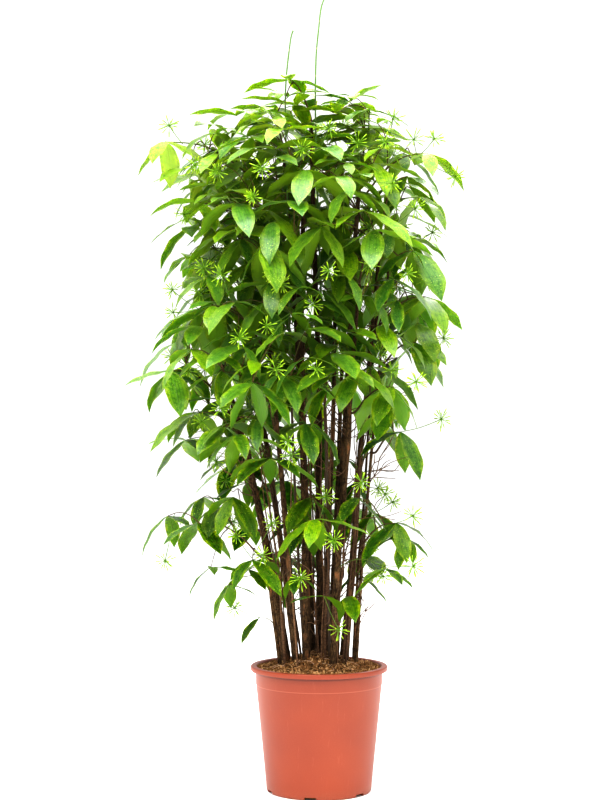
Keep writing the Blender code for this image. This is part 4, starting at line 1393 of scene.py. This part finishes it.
woodDetail = {
    "bark": srgb(118, 90, 60),
    "darkBark": srgb(30, 20, 10),
    "lightBark": srgb(174, 148, 114),
    "orangeFleck": srgb(188, 112, 60),
    "twig": srgb(82, 58, 40),
    "lightTwig": srgb(142, 108, 78),
    "greenTwig": srgb(104, 136, 52),
    "shoot": srgb(112, 150, 62),
    "shootShade": srgb(70, 110, 44),
    "shootJoint": srgb(150, 150, 96),
    "cutEnd": srgb(178, 150, 112),
    "innerShade": (0.42, 0.38, 0.32),
    "caneSkin": {"sides": 14, "step": 0.0042, "rings": 0.09, "spacing": 0.027, "skin": 0.42},
    "twigSkin": {"sides": 6, "step": 0.006, "rings": 0.18, "spacing": 0.016, "skin": 0.25},
    "shootSkin": {"sides": 10, "step": 0.006, "rings": 0.14, "spacing": 0.052, "skin": 0.06},
    "stubs": {  # of side branches that were cut away
        "perCane": 3,
        "lowest": 0.30,
        "belowHead": 0.05,
        "rise": (0.2, 1.0),
        "length": (0.003, 0.011),
        "thickness": (0.28, 0.45),
        "shape": ((0, 1.5), (0.6, 1), (1, 0.9)),  # the share of its length, and of its thickness there
        "shift": 0.3,
    },
    "cutDepth": 0.0004,
    "cutShare": 0.6,
    "branchSunk": 0.005,
    "sideTaper": (1.2, 1.05, 0.85),
    "addedTaper": (1.25, 0.85),
    "youth": {"least": 0.15, "more": 0.6, "above": 1.22},  # how green a branch is
    "addedYouth": (0.05, 0.15, 0.3, 0.8),
}


def barkPaint():
    paint = Paint("streakyBark", {"IOR": 1.25})
    tint, ripe = paint.attribute("tint"), paint.attribute("ripe")
    streaks = paint.noise(paint.stretched((1, 1, 0.24)), 420.0, 4, 0.6)
    patches = paint.noise(paint.stretched((1, 1, 0.45)), 60.0, 3)
    grain = paint.noise(paint.place(), 900.0, 2)
    rings = paint.noise(paint.stretched((0.2, 0.2, 3.2)), 85.0, 2)
    colour = paint.mixed(paint.between(streaks, 0.36, 0.62), woodDetail["darkBark"], woodDetail["bark"])
    pale = paint.between(patches + tint * 0.3, 0.52, 0.80)
    colour = paint.mixed(pale * 0.7, colour, woodDetail["lightBark"])
    colour = paint.mixed(paint.between(rings, 0.58, 0.66) * 0.45, colour, woodDetail["darkBark"])
    orange = paint.between(patches, 0.60, 0.68) * paint.between(grain, 0.42, 0.55)
    colour = paint.mixed(orange * 0.6, colour, woodDetail["orangeFleck"])
    colour = paint.mixed(paint.between(grain, 0.60, 0.68) * 0.5, colour, woodDetail["lightBark"])
    colour = paint.mixed(paint.between(grain, 0.40, 0.33) * 0.5, colour, woodDetail["darkBark"])
    colour = paint.mixed(ripe, colour, woodDetail["cutEnd"])
    across, back, level = paint.parts(paint.place())
    # painted shade: the canes are darkened where they rise into the crown
    inside = paint.between(level, 0.36, 0.62)
    colour = paint.mixed(inside * 0.55, colour, woodDetail["innerShade"], "MULTIPLY")
    # painted shade: canes near the middle of the bundle, round the pot's axis, are darkened
    core = paint.between((across * across + back * back) ** 0.5, 0.080, 0.035)
    colour = paint.mixed(core * 0.75, colour, woodDetail["innerShade"], "MULTIPLY")
    rough = 0.72 + grain * 0.2
    height = streaks * 1.2 + rings * 0.5 + grain * 0.25
    return paint.finish(colour, rough, height, 0.0016, 0.8)


def twigPaint():
    paint = Paint("youngWood", {"IOR": 1.3})
    tint, ripe, reach = paint.attribute("tint"), paint.attribute("ripe"), paint.attribute("reach")
    mottle = paint.noise(paint.place(), 300.0, 3)
    rings = paint.between((reach * 900).math("SINE"), 0.86, 1.0)
    light = paint.between(mottle + tint * 0.4, 0.45, 0.85)
    brown = paint.mixed(light, woodDetail["twig"], woodDetail["lightTwig"])
    colour = paint.mixed(ripe, brown, woodDetail["greenTwig"])
    colour = paint.mixed(rings * 0.35, colour, woodDetail["darkBark"])
    return paint.finish(colour, 0.55 + mottle * 0.2, mottle + rings * -0.4, 0.0006, 0.6)


def shootPaint():
    paint = Paint("greenShoot", {"Coat Weight": 0.1})
    mottle = paint.noise(paint.stretched((1, 1, 0.2)), 260.0, 3)
    reach = paint.attribute("reach")
    joint = paint.between((reach * 118).math("SINE"), 0.93, 1.0)
    colour = paint.mixed(mottle, woodDetail["shootShade"], woodDetail["shoot"])
    colour = paint.mixed(joint * 0.6, colour, woodDetail["shootJoint"])
    woody = paint.between(paint.parts(paint.place())[2] + mottle * 0.2, 1.12, 0.86)
    colour = paint.mixed(woody, colour, paint.mixed(mottle, woodDetail["darkBark"], woodDetail["bark"]))
    return paint.finish(colour, 0.42 + mottle * 0.15, mottle + joint * 0.5, 0.0005, 0.5)


def caneStrands(canes):
    strands, stubs = [], woodDetail["stubs"]
    draws = random.Random(plantSeed + 40)
    for number, (points, radii) in enumerate(canes):
        shift = draws.uniform(-0.5, 0.5)
        if caneSizes["canes"][number][-1]:
            strands.append((points, radii, (0, 0), shift))
        else:  # pruned straight across
            top = points[-1] + (points[-1] - points[-2]).normalized() * woodDetail["cutDepth"]
            strands.append(([*points, top], [*radii, radii[-1] * woodDetail["cutShare"]], (0, 0), shift))
        for _ in range(stubs["perCane"]):
            height = draws.uniform(stubs["lowest"], points[-1].z - stubs["belowHead"])
            root, radius = pointAt((points, radii), height)
            way = headingVector(draws.uniform(0, math.tau)) + up * draws.uniform(*stubs["rise"])
            way.normalize()
            length = radius + draws.uniform(*stubs["length"])
            thin = radius * draws.uniform(*stubs["thickness"])
            ends = [root + way * length * share for share, _ in stubs["shape"]]
            thicknesses = [thin * share for _, share in stubs["shape"]]
            strands.append((ends, thicknesses, (0, 0), shift + stubs["shift"]))
    return strands


def twigStrands(sprays, added, bare, thinStems):
    draws = random.Random(plantSeed + 41)
    strands, youth = [], woodDetail["youth"]
    thick, thin = sprayShape["radius"], sprayShape["twigRadius"]
    for spray in sprays:
        main, *others = spray["twigs"]
        start = main[0] - (main[1] - main[0]).normalized() * woodDetail["branchSunk"]
        shift = draws.uniform(-0.4, 0.4)
        young = youth["least"] + youth["more"] * (main[-1].z > youth["above"]) * draws.random()
        path = [start, *main[1:]]
        strands.append((path, taper(thick, thin, len(path)), (0, young), shift))
        for twig in others:
            radii = [thin * share for share in woodDetail["sideTaper"]]
            strands.append((list(twig), radii, (young * 0.5, young + 0.1), shift))
    for grown in added:
        twig = grown["twig"]
        young = draws.choice(woodDetail["addedYouth"])
        radii = taper(*(fillRule["twigRadius"] * share for share in woodDetail["addedTaper"]), len(twig))
        strands.append((list(twig), radii, (young * 0.6, young), draws.uniform(-0.4, 0.4)))
    for path in bare:
        strands.append((path, taper(*bareShape["radius"], len(path)), (0, 0), draws.uniform(-0.2, 0.5)))
    for path in thinStems:
        thick = draws.uniform(*stemShape["radius"])
        radii = taper(thick, thick * stemShape["tipShare"], len(path))
        strands.append((path, radii, (0, 0), draws.uniform(-0.2, 0.6)))
    return strands


# umbels of flower buds

umbelDetail = {
    "rayWidth": 0.00056,
    "bud": (0.50, 1.75),  # where on a ray its bud starts, and how much thicker it is
    "rays": (16, 22),
    "lengths": (0.80, 1.12),
    "sizes": (0.86, 1.08),
    "thickness": (0.85, 1.2),
    "scatter": 0.22,
    "behind": 0.80,  # how near the stalk's way no ray points
    "stalkRadii": [0.0007, 0.0006, 0.0009],
    "stalkSag": 0.04,
    "budColour": srgb(182, 210, 22),
    "rayColour": srgb(128, 172, 18),
    "shade": srgb(90, 140, 40),
}


def rayTemplate():  # a unit ray with a club-shaped bud, along +Z
    start, fat = umbelDetail["bud"]
    rings = ((0.0, 1.0), (start * 0.7, 0.8), (start, 1.0), (start + 0.11, fat), (0.95, fat * 0.8))
    points, faces, sides = [], [], 5
    for height, radius in rings:
        points += circle(radius, height, sides)
    for ring in range(len(rings) - 1):
        for side in range(sides):
            a, b = ring * sides + side, ring * sides + (side + 1) % sides
            faces.append((a, b, b + sides, a + sides))
    points.append(up * 1.0)
    top = (len(rings) - 1) * sides
    faces += [(top + side, top + (side + 1) % sides, len(points) - 1) for side in range(sides)]
    faces.append(tuple(range(sides - 1, -1, -1)))
    template = meshObject("rayTemplate", points, (), faces)
    giveAttribute(template.data, "bud", [float(point[2]) for point in points])
    template.data.shade_smooth()
    return template


def umbelGrower():  # a ray on every point, along that point's own way
    grower = Grower("umbelRays", template="object", width="float", material="material")
    way = grower.named("way", vector=True)
    turned = grower.node("FunctionNodeAlignRotationToVector", {"axis": "Z"}, {"Vector": way})
    width = grower.given("width") * grower.named("thick")
    size = grower.combined(width, width, grower.named("span"))
    sockets = {"Points": grower.given(), "Instance": grower.template(), "Rotation": turned, "Scale": size}
    grower.finish(grower.node("GeometryNodeInstanceOnPoints", None, sockets))
    return grower


def rayWays(draws, stalk):  # ways spread evenly over a ball, none of them back along the stalk
    count = draws.randint(*umbelDetail["rays"])
    turn = draws.uniform(0, math.tau)
    ways = []
    for number in range(count + 2):
        height = 1 - 2 * (number + 0.5) / (count + 2)
        flat = headingVector(turn + number * math.pi * (3 - math.sqrt(5))) * math.sqrt(1 - height * height)
        way = (flat + up * height + scatter(draws, umbelDetail["scatter"])).normalized()
        if way.dot(stalk) < umbelDetail["behind"]:
            ways.append(way)
    return ways


def makeUmbels(umbels, material):
    draws = random.Random(plantSeed + 50)
    points, ways, spans, thick, stalks = [], [], [], [], []
    for foot, centre in umbels:
        size = umbelShape["ray"] * draws.uniform(*umbelDetail["sizes"])
        for way in rayWays(draws, (foot - centre).normalized()):
            points.append(centre)
            ways.append(tuple(way))
            spans.append(size * draws.uniform(*umbelDetail["lengths"]))
            thick.append(draws.uniform(*umbelDetail["thickness"]))
        middle = foot.lerp(centre, 0.5) - up * (foot - centre).length * umbelDetail["stalkSag"]
        shift = draws.uniform(-0.3, 0.3)
        stalks.append(([foot, middle, centre], umbelDetail["stalkRadii"], (1, 1), shift))
    source = meshObject("rayPoints", points)
    giveAttribute(source.data, "way", ways, vector=True)
    giveAttribute(source.data, "span", spans)
    giveAttribute(source.data, "thick", thick)
    template = rayTemplate()
    settings = {"template": template, "width": umbelDetail["rayWidth"], "material": material}
    rays = umbelGrower().grow("umbelRays", source, **settings)
    bpy.data.objects.remove(template, do_unlink=True)
    return rays, stalks


def umbelPaint():
    paint = Paint("budGreen")
    bud = paint.between(paint.attribute("bud"), 0.55, 0.85)
    mottle = paint.noise(paint.place(), 500.0, 2)
    colour = paint.mixed(bud, umbelDetail["rayColour"], umbelDetail["budColour"])
    colour = paint.mixed(mottle * 0.35, colour, umbelDetail["shade"])
    return paint.finish(colour, 0.45 + mottle * 0.1, mottle, 0.0004, 0.5)


# pot

potDetail = {
    "beadEdge": 0.0028,
    "sharper": 0.7,  # the bead's lower corner, as a share of its upper one
    "innerLip": ((0.0004, -0.0016), (0.0016, -0.0003)),  # from the neck's inside and the rim's top
    "innerDrop": 0.012,
    "underBead": ((0.0016, 0), (0.0004, -0.0006), (0, -0.002)),  # from the neck and the bead's base
    "footTall": 1.4,  # how much higher than wide the foot's rounding is
    "smoothTo": 38,  # degrees between faces, past which an edge stays sharp
    "colour": srgb(154, 70, 39),
    "light": srgb(167, 87, 54),
    "shade": srgb(142, 62, 35),
    "scuff": srgb(240, 160, 135),
    "dust": srgb(150, 100, 75),
    "paintedLightLines": (  # painted shadow and highlight lines round the pot: over what edge, four heights from it, how strong and which colour
        # a painted shadow just under the bead
        ("bead", (-0.0055, -0.0012, 0.0012, 0.0002), 0.80, srgb(84, 30, 16)),
        # a painted highlight along the step
        ("step", (-0.0016, -0.0004, 0.0010, 0.0002), 0.18, srgb(226, 146, 120)),
        # a painted shadow just under the step
        ("step", (-0.0045, -0.0016, -0.0012, -0.0018), 0.16, srgb(112, 44, 28)),
    ),
}


def innerRadius(height):
    foot = potSizes["footRounding"] * 2
    share = (height - foot) / (potSizes["height"] - foot)
    flare = potSizes["neckRadius"] - potSizes["footRadius"]
    return potSizes["footRadius"] - potSizes["wall"] + flare * share


def potProfile():  # from the middle of the inner floor up, over the rim and down to the outer foot
    height, rim, neck, wall = (potSizes[name] for name in ("height", "rimRadius", "neckRadius", "wall"))
    foot, rounding, floor = potSizes["footRadius"], potSizes["footRounding"], potSizes["floor"]
    beadBase, edge = height - potSizes["beadHeight"], potDetail["beadEdge"]
    step = beadBase - potSizes["stepDrop"]
    profile = [(0, floor), (foot - rounding - wall, floor), (foot - wall, rounding * 2)]
    lip = height - potDetail["innerDrop"]
    profile.append((innerRadius(lip), lip))
    profile += [(neck - wall + out, height + rise) for out, rise in potDetail["innerLip"]]
    lower = edge * potDetail["sharper"]
    for radius, level, start, end in ((edge, height - edge, 90, 0), (lower, beadBase + lower, 0, -90)):
        for angle in taper(start, end, 6):
            across, rise = math.cos(math.radians(angle)), math.sin(math.radians(angle))
            profile.append((rim - radius + radius * across, level + radius * rise))
    profile += [(neck + out, beadBase + rise) for out, rise in potDetail["underBead"]]
    depth = potSizes["stepDepth"]
    profile += [(neck - 0.0002, step + depth + 0.0004), (neck - depth, step - 0.0004)]
    for share in (0.25, 0.5, 0.75):
        profile.append((neck - depth + (foot - neck + depth) * share, step + (rounding * 2 - step) * share))
    tall = rounding * potDetail["footTall"]
    for angle in taper(0, -90, 7):
        across, rise = math.cos(math.radians(angle)), math.sin(math.radians(angle))
        profile.append((foot - rounding + rounding * across, tall + tall * rise))
    return [*profile, (0, 0)]


def makePot(material):
    profile = potProfile()
    points = [(radius, 0, height) for radius, height in profile]
    pot = meshObject("pot_shell", points, [(step, step + 1) for step in range(len(points) - 1)])
    screw = pot.modifiers.new("turned", "SCREW")
    screw.steps = screw.render_steps = potSizes["sides"]
    screw.use_merge_vertices = True
    screw.merge_threshold = 0.00005
    cutters = bpy.data.collections.new("notchCutters")
    bpy.context.scene.collection.children.link(cutters)
    for number in range(potSizes["notches"]):
        turn = potSizes["notchTurn"] + number * math.tau / potSizes["notches"]
        cutters.objects.link(notchCutter(turn))
    cut = pot.modifiers.new("notches", "BOOLEAN")
    cut.operation, cut.operand_type, cut.solver = "DIFFERENCE", "COLLECTION", "EXACT"
    cut.collection = cutters
    mesh = bpy.data.meshes.new_from_object(pot.evaluated_get(bpy.context.evaluated_depsgraph_get()))
    pot.modifiers.clear()
    pot.data = mesh
    for cutter in list(cutters.objects):
        bpy.data.objects.remove(cutter, do_unlink=True)
    bpy.data.collections.remove(cutters)
    shape = bmesh.new()
    shape.from_mesh(mesh)
    bmesh.ops.remove_doubles(shape, verts=shape.verts, dist=0.00002)
    bmesh.ops.recalc_face_normals(shape, faces=shape.faces)
    shape.to_mesh(mesh)
    shape.free()
    mesh.shade_smooth()
    mesh.set_sharp_from_angle(angle=math.radians(potDetail["smoothTo"]))
    mesh.materials.clear()
    mesh.materials.append(material)
    return pot


def notchCutter(turn):
    shape = bmesh.new()
    bmesh.ops.create_cube(shape, size=1)
    for vertex in shape.verts:
        top = vertex.co.z > 0
        x = potSizes["footRadius"] + potSizes["notchReach"] * 2 * vertex.co.x
        y = vertex.co.y * potSizes["notchTopWidth" if top else "notchWidth"]
        vertex.co.x = x * math.cos(turn) - y * math.sin(turn)
        vertex.co.y = x * math.sin(turn) + y * math.cos(turn)
        vertex.co.z = potSizes["notchHeight"] if top else -potSizes["notchHeight"]
    cutter = meshObject("notchCutter", [])
    shape.to_mesh(cutter.data)
    shape.free()
    return cutter


def potPaint():
    paint = Paint("terracottaPlastic", {"Coat Weight": 0.08, "Coat Roughness": 0.3})
    place = paint.place()
    cloud = paint.noise(place, 6.0, 3)
    speckle = paint.noise(place, 700.0, 2)
    scuffs = paint.noise(paint.stretched((1, 1, 0.12), (0.2, 0.1, 0)), 160.0, 3, 0.65)
    colour = paint.mixed(paint.between(cloud, 0.35, 0.68), potDetail["shade"], potDetail["colour"])
    colour = paint.mixed(paint.between(speckle, 0.5, 0.8) * 0.25, colour, potDetail["light"])
    colour = paint.mixed(paint.between(scuffs, 0.62, 0.72) * 0.05, colour, potDetail["scuff"])
    level = paint.parts(place)[2]
    bead = potSizes["height"] - potSizes["beadHeight"]
    edges = {"bead": bead, "step": bead - potSizes["stepDrop"]}
    # painted shadow under the bead, and a painted highlight and a painted shadow at the moulded step
    for edge, shifts, strength, shade in potDetail["paintedLightLines"]:
        start, full, end, fade = (edges[edge] + shift for shift in shifts)
        line = paint.between(level, start, full) * paint.between(level, end, fade)
        colour = paint.mixed(line * strength, colour, shade)
    dust = paint.between(level, 0.02, 0.0) * paint.between(speckle, 0.4, 0.6)
    colour = paint.mixed(dust * 0.35, colour, potDetail["dust"])
    rough = 0.36 + cloud * 0.12 + paint.between(scuffs, 0.6, 0.75) * 0.12
    return paint.finish(colour, rough, speckle * 0.4 + scuffs * 0.5, 0.0003, 0.35)


# soil

soilDetail = {
    "rings": 34,
    "sides": 96,
    "heap": 0.0020,
    "bumps": 0.0070,
    "bumpNoise": {"Scale": 70.0, "Detail": 4.0},
    "footHeight": 0.008,
    "chipDensity": 50000.0,
    "chipSize": (0.0014, 0.0068),
    "chipShape": (0.6, 1.1),
    "chipTurn": 3.2,
    "chipLength": (0.7, 2.4),  # as a share of a chip's size
    "chipFlat": 0.32,  # and its thickness
    "chipTint": (0.15, 1.0),
    "seed": 5,
    "fibres": {"count": 420, "length": (0.006, 0.024), "radius": (0.0002, 0.0005)},
    "rootlets": {"count": 34, "length": (0.020, 0.050), "radius": (0.0005, 0.0009), "spread": 0.085},
    "strandTaper": (1, 1, 1, 0.8, 0.4),
    "lowest": 0.0002,  # a strand's points over the soil
    "highest": (0.001, 0.0045, 0.0045, 0.0045, 0.001),
    "strandTurn": 0.7,
    "wallRoom": 0.006,
    "strandSkin": {"sides": 4, "step": 0.0035, "rings": 0.0, "spacing": 0.01, "skin": 0.2},
    "colour": srgb(174, 128, 82),
    "dark": srgb(62, 42, 22),
    "light": srgb(226, 186, 138),
    "rootlet": srgb(216, 180, 152),
}


def soilLevel(radius):  # as the solid's, with loose chips heaped against the wall
    return soilHeight(radius) + soilDetail["heap"] * (radius / potSizes["neckRadius"]) ** 4


def makeSoilBed():  # a closed body: a top of fine rings, a side along the pot's wall and a plain floor
    rings, sides = soilDetail["rings"], soilDetail["sides"]
    reach = innerRadius(soilSizes["edge"]) - gap
    points, faces = [Vector((0, 0, soilLevel(0)))], []
    for ring in range(1, rings + 1):
        radius = reach * ring / rings
        points += circle(radius, soilLevel(radius), sides)
    wall = potSizes["wall"] + gap
    foot = potSizes["footRadius"] - wall
    points += circle(foot, soilDetail["footHeight"], sides)
    points += circle(foot - potSizes["footRounding"], potSizes["floor"] + gap, sides)
    faces += [(0, 1 + side, 1 + (side + 1) % sides) for side in range(sides)]
    for ring in range(rings + 1):
        for side in range(sides):
            a, b = 1 + ring * sides + side, 1 + ring * sides + (side + 1) % sides
            faces.append((a, a + sides, b + sides, b))
    last = len(points) - sides
    faces.append(tuple(last + side for side in range(sides - 1, -1, -1)))
    bed = meshObject("soilBed", points, (), faces)
    top = [1.0 if number < 1 + rings * sides - sides else 0.0 for number in range(len(points))]
    giveAttribute(bed.data, "top", top)
    return bed


def chipTemplate():
    shape = bmesh.new()
    bmesh.ops.create_icosphere(shape, subdivisions=1, radius=1)
    draws = random.Random(soilDetail["seed"])
    for vertex in shape.verts:
        vertex.co *= draws.uniform(*soilDetail["chipShape"])
    template = meshObject("chipTemplate", [])
    shape.to_mesh(template.data)
    shape.free()
    return template


def soilGrower():
    grower = Grower("soilBed", template="object", bumps="float", density="float", smallest="float",
                    largest="float", seed="int", material="material")
    place = grower.node("GeometryNodeInputPosition")
    top = grower.named("top")
    coarse = grower.node("ShaderNodeTexNoise", None, {"Vector": place, **soilDetail["bumpNoise"]}) - 0.5
    offset = grower.combined(0.0, 0.0, coarse * grower.given("bumps") * top * 2)
    bed = grower.node("GeometryNodeSetPosition", None, {"Geometry": grower.given(), "Offset": offset})
    bed = grower.store(bed, "tint", 0.0)
    settings = {"distribute_method": "RANDOM"}
    sockets = {"Mesh": bed, "Selection": grower.between(top, 0.5, 0.51), "Density": grower.given("density"),
               "Seed": grower.given("seed")}
    chips = grower.node("GeometryNodeDistributePointsOnFaces", settings, sockets, "Points")
    turn = soilDetail["chipTurn"]
    turned = grower.chance((-turn,) * 3, (turn,) * 3, grower.given("seed"), vector=True)
    size = grower.chance(grower.given("smallest"), grower.given("largest"))
    long = grower.chance(*soilDetail["chipLength"], 3)
    chips = grower.store(chips, "tint", grower.chance(*soilDetail["chipTint"], 4))
    scale = grower.combined(size * long / 2, size / 2, size * soilDetail["chipFlat"])
    sockets = {"Points": chips, "Instance": grower.template(), "Rotation": turned, "Scale": scale}
    chips = grower.node("GeometryNodeInstanceOnPoints", None, sockets)
    join = grower.tree.nodes.new("GeometryNodeJoinGeometry")
    for geometry in (bed, chips):
        grower.tree.links.new(geometry.socket, join.inputs[0])
    grower.finish(Wire(grower, join.outputs[0]))
    return grower


def fibreStrands():  # coir fibres and thin rootlets that lie on the soil
    draws = random.Random(soilDetail["seed"] + 1)
    reach = innerRadius(soilSizes["edge"]) - soilDetail["wallRoom"]
    fibres, rootlets = soilDetail["fibres"], soilDetail["rootlets"]
    strands = []
    for number in range(fibres["count"] + rootlets["count"]):
        root = number >= fibres["count"]
        kind = rootlets if root else fibres
        radius = draws.uniform(0, kind["spread"]) if root else reach * math.sqrt(draws.random())
        spot = headingVector(draws.uniform(0, math.tau)) * radius
        heading = draws.uniform(0, math.tau)
        length = draws.uniform(*kind["length"])
        path = []
        for highest in soilDetail["highest"]:
            level = soilLevel(spot.length) + draws.uniform(soilDetail["lowest"], highest)
            path.append(Vector((spot.x, spot.y, level)))
            heading += draws.uniform(-soilDetail["strandTurn"], soilDetail["strandTurn"])
            way = headingVector(heading) * length / (len(soilDetail["highest"]) - 1)
            spot = spot + way if (spot + way).length < reach else spot - way
        thick = draws.uniform(*kind["radius"])
        radii = [thick * share for share in soilDetail["strandTaper"]]
        strands.append((path, radii, (root, root), draws.random()))
    return strands


def soilPaint(name, strands=False):
    paint = Paint(name, {"IOR": 1.2})
    tint = paint.attribute("tint")
    grain = paint.noise(paint.place(), 520.0, 3, 0.6)
    clumps = paint.noise(paint.place(), 110.0, 3)
    mix = paint.between(grain * 0.45 + clumps * 0.55 + tint * 0.32, 0.42, 0.76)
    colour = paint.mixed(mix, soilDetail["dark"], soilDetail["colour"])
    colour = paint.mixed(paint.between(tint + grain * 0.3, 0.80, 1.15), colour, soilDetail["light"])
    if strands:
        colour = paint.mixed(paint.attribute("ripe"), colour, soilDetail["rootlet"])
    return paint.finish(colour, 0.86 + grain * 0.1, grain + clumps, 0.0015, 0.9)


# the piece list

def announce(piece):
    triangles = sum(len(polygon.vertices) - 2 for polygon in piece.data.polygons)
    print(f"{piece.name}: {triangles} triangles")


def place(piece, slotName, nodes=()):
    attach(piece, "root")
    if nodes:
        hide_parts(*nodes)
    announce(piece)


def ageOf(whorl, draws):  # new growth is at the top and at the tips of the crown
    hub = whorl[0].hub
    reach = crownReach(math.atan2(hub.y, hub.x), hub.z)
    inside, growth = leafDetail["youngOutside"]
    outer = hub.xy.length / max(reach, leafDetail["leastReach"])
    chance = valueAt(hub.z, leafDetail["young"]) * (inside + growth * outer)
    return draws.uniform(*leafDetail["youngAge" if draws.random() < chance else "oldAge"])


def agedLeaves(whorls, draws):
    leaves = []
    for whorl in whorls:
        age = ageOf(whorl, draws)
        leaves += [(leaf, min(age + draws.uniform(0, leafDetail["ageDrift"]), 1)) for leaf in whorl]
    return leaves


def nodesOf(kind):
    return [name for name in sorted(frame["nodes"]) if name.startswith(kind)]


def main():
    canes, shoots, sprays, clearance, ball = growPlant()
    print("sprays", len(sprays), "leaves", sum(len(whorl) for spray in sprays for whorl in spray["whorls"]))
    added = fillCrown(canes, sprays, clearance)
    umbels = [umbel for spray in sprays for umbel in spray["umbels"]]
    umbels += growMoreUmbels(sprays, added, ball, clearance)
    draws = random.Random(fillRule["seed"] + 2)
    bare = growBareTwigs(canes, clearance, draws)
    thinStems = growThinStems(clearance, draws)
    print("added twigs", len(added), "umbels", len(umbels), "bare twigs", len(bare), "thin", len(thinStems))

    draws = random.Random(plantSeed + 60)
    large = agedLeaves([whorl for spray in sprays for whorl in spray["whorls"]], draws)
    small = agedLeaves([grown["whorl"] for grown in added], draws)
    half = len(small) // 2
    template, blades = leafTemplate(), leafGrower()
    settings = {"template": template, "fold": leafDetail["fold"], "wave": leafDetail["wave"],
                "thickness": leafDetail["thickness"], "stalk": leafDetail["stalk"], "material": leafPaint()}
    place(blades.grow("spray_leaves", leafPoints("spray", large), **settings), "foliage", nodesOf("spray"))
    place(blades.grow("filling_leaves", leafPoints("filling", small[:half]), **settings), "foliage")
    place(blades.grow("outer_leaves", leafPoints("outer", small[half:]), **settings), "foliage")
    bpy.data.objects.remove(template, do_unlink=True)

    rays, stalks = makeUmbels(umbels, umbelPaint())
    place(rays, "foliage", nodesOf("spray"))

    stems = strandGrower()

    def growStems(name, strands, skin, material):
        return stems.grow(name, strandObject(name + "Lines", strands), **skin, material=material)

    skin = woodDetail["caneSkin"]
    place(growStems("canes", caneStrands(canes), skin, barkPaint()), "bark", nodesOf("cane"))
    strands = twigStrands(sprays, added, bare, thinStems) + stalks
    place(growStems("twigs", strands, woodDetail["twigSkin"], twigPaint()), "foliage", nodesOf("spray"))
    strands = [(points, radii, (1, 1), 0.0) for points, radii in shoots.values()]
    skin = woodDetail["shootSkin"]
    place(growStems("shoots", strands, skin, shootPaint()), "green_stem", nodesOf("shoot"))
    print("plant done")

    place(makePot(potPaint()), "pot_plastic", ["pot"])
    template = chipTemplate()
    smallest, largest = soilDetail["chipSize"]
    settings = {"template": template, "bumps": soilDetail["bumps"], "density": soilDetail["chipDensity"],
                "smallest": smallest, "largest": largest, "seed": soilDetail["seed"],
                "material": soilPaint("coirSoil")}
    place(soilGrower().grow("soil_bed", makeSoilBed(), **settings), "soil", ["soil"])
    bpy.data.objects.remove(template, do_unlink=True)
    skin, coir = soilDetail["strandSkin"], soilPaint("coirFibre", True)
    place(growStems("soil_fibres", fibreStrands(), skin, coir), "soil")
    print("pot and soil done")


# floor, light and camera

studio = {
    "floor": (0.97, 0.97, 0.97),
    "floorShade": (0.955, 0.955, 0.95),
    "sky": 0.82,
    "key": {"place": (-1.0, -2.3, 4.3), "size": 4.0, "power": 200},
    "top": {"place": (0.1, -0.2, 4.4), "size": 4.4, "power": 106},
    "fill": {"place": (2.4, -2.4, 2.2), "size": 1.6, "power": 12},
    "back": {"place": (0.6, 2.4, 3.0), "size": 1.8, "power": 24},
    "aim": (0, 0, 0.85),
    "reach": 60,  # of the floor, and as far as the camera sees
    "lens": 82.0,
    "exposure": 0.58,
    "gamma": 0.75,
}


def makeStudio():
    scene = bpy.context.scene
    scene.view_settings.view_transform = "Standard"
    scene.view_settings.exposure, scene.view_settings.gamma = studio["exposure"], studio["gamma"]
    outline = circle(studio["reach"], 0, 64)
    floor = meshObject("floor", outline, (), [tuple(range(len(outline)))])
    paint = Paint("paleFloor")
    shade = paint.mixed(paint.noise(paint.place(), 3.0), studio["floor"], studio["floorShade"])
    floor.data.materials.append(paint.finish(shade, 0.9))
    world = bpy.data.worlds.new("softStudio")
    world.use_nodes = True
    backdrop = world.node_tree.nodes["Background"]
    backdrop.inputs["Color"].default_value = (1, 1, 1, 1)
    backdrop.inputs["Strength"].default_value = studio["sky"]
    scene.world = world
    for name in ("key", "top", "fill", "back"):
        light = bpy.data.lights.new(name, "AREA")
        light.shape, light.size, light.energy = "DISK", studio[name]["size"], studio[name]["power"]
        lamp = bpy.data.objects.new(name, light)
        lamp.location = studio[name]["place"]
        lamp.rotation_euler = (Vector(studio["aim"]) - lamp.location).to_track_quat("-Z", "Y").to_euler()
        scene.collection.objects.link(lamp)
    lens = bpy.data.cameras.new("photoView")
    lens.lens, lens.sensor_width, lens.sensor_fit = studio["lens"], 36, "AUTO"
    lens.clip_end = studio["reach"]
    camera = bpy.data.objects.new("photoView", lens)
    camera.location = eyePlace
    camera.rotation_euler = (math.radians(90), 0, 0)
    scene.collection.objects.link(camera)
    scene.camera = camera


main()
makeStudio()
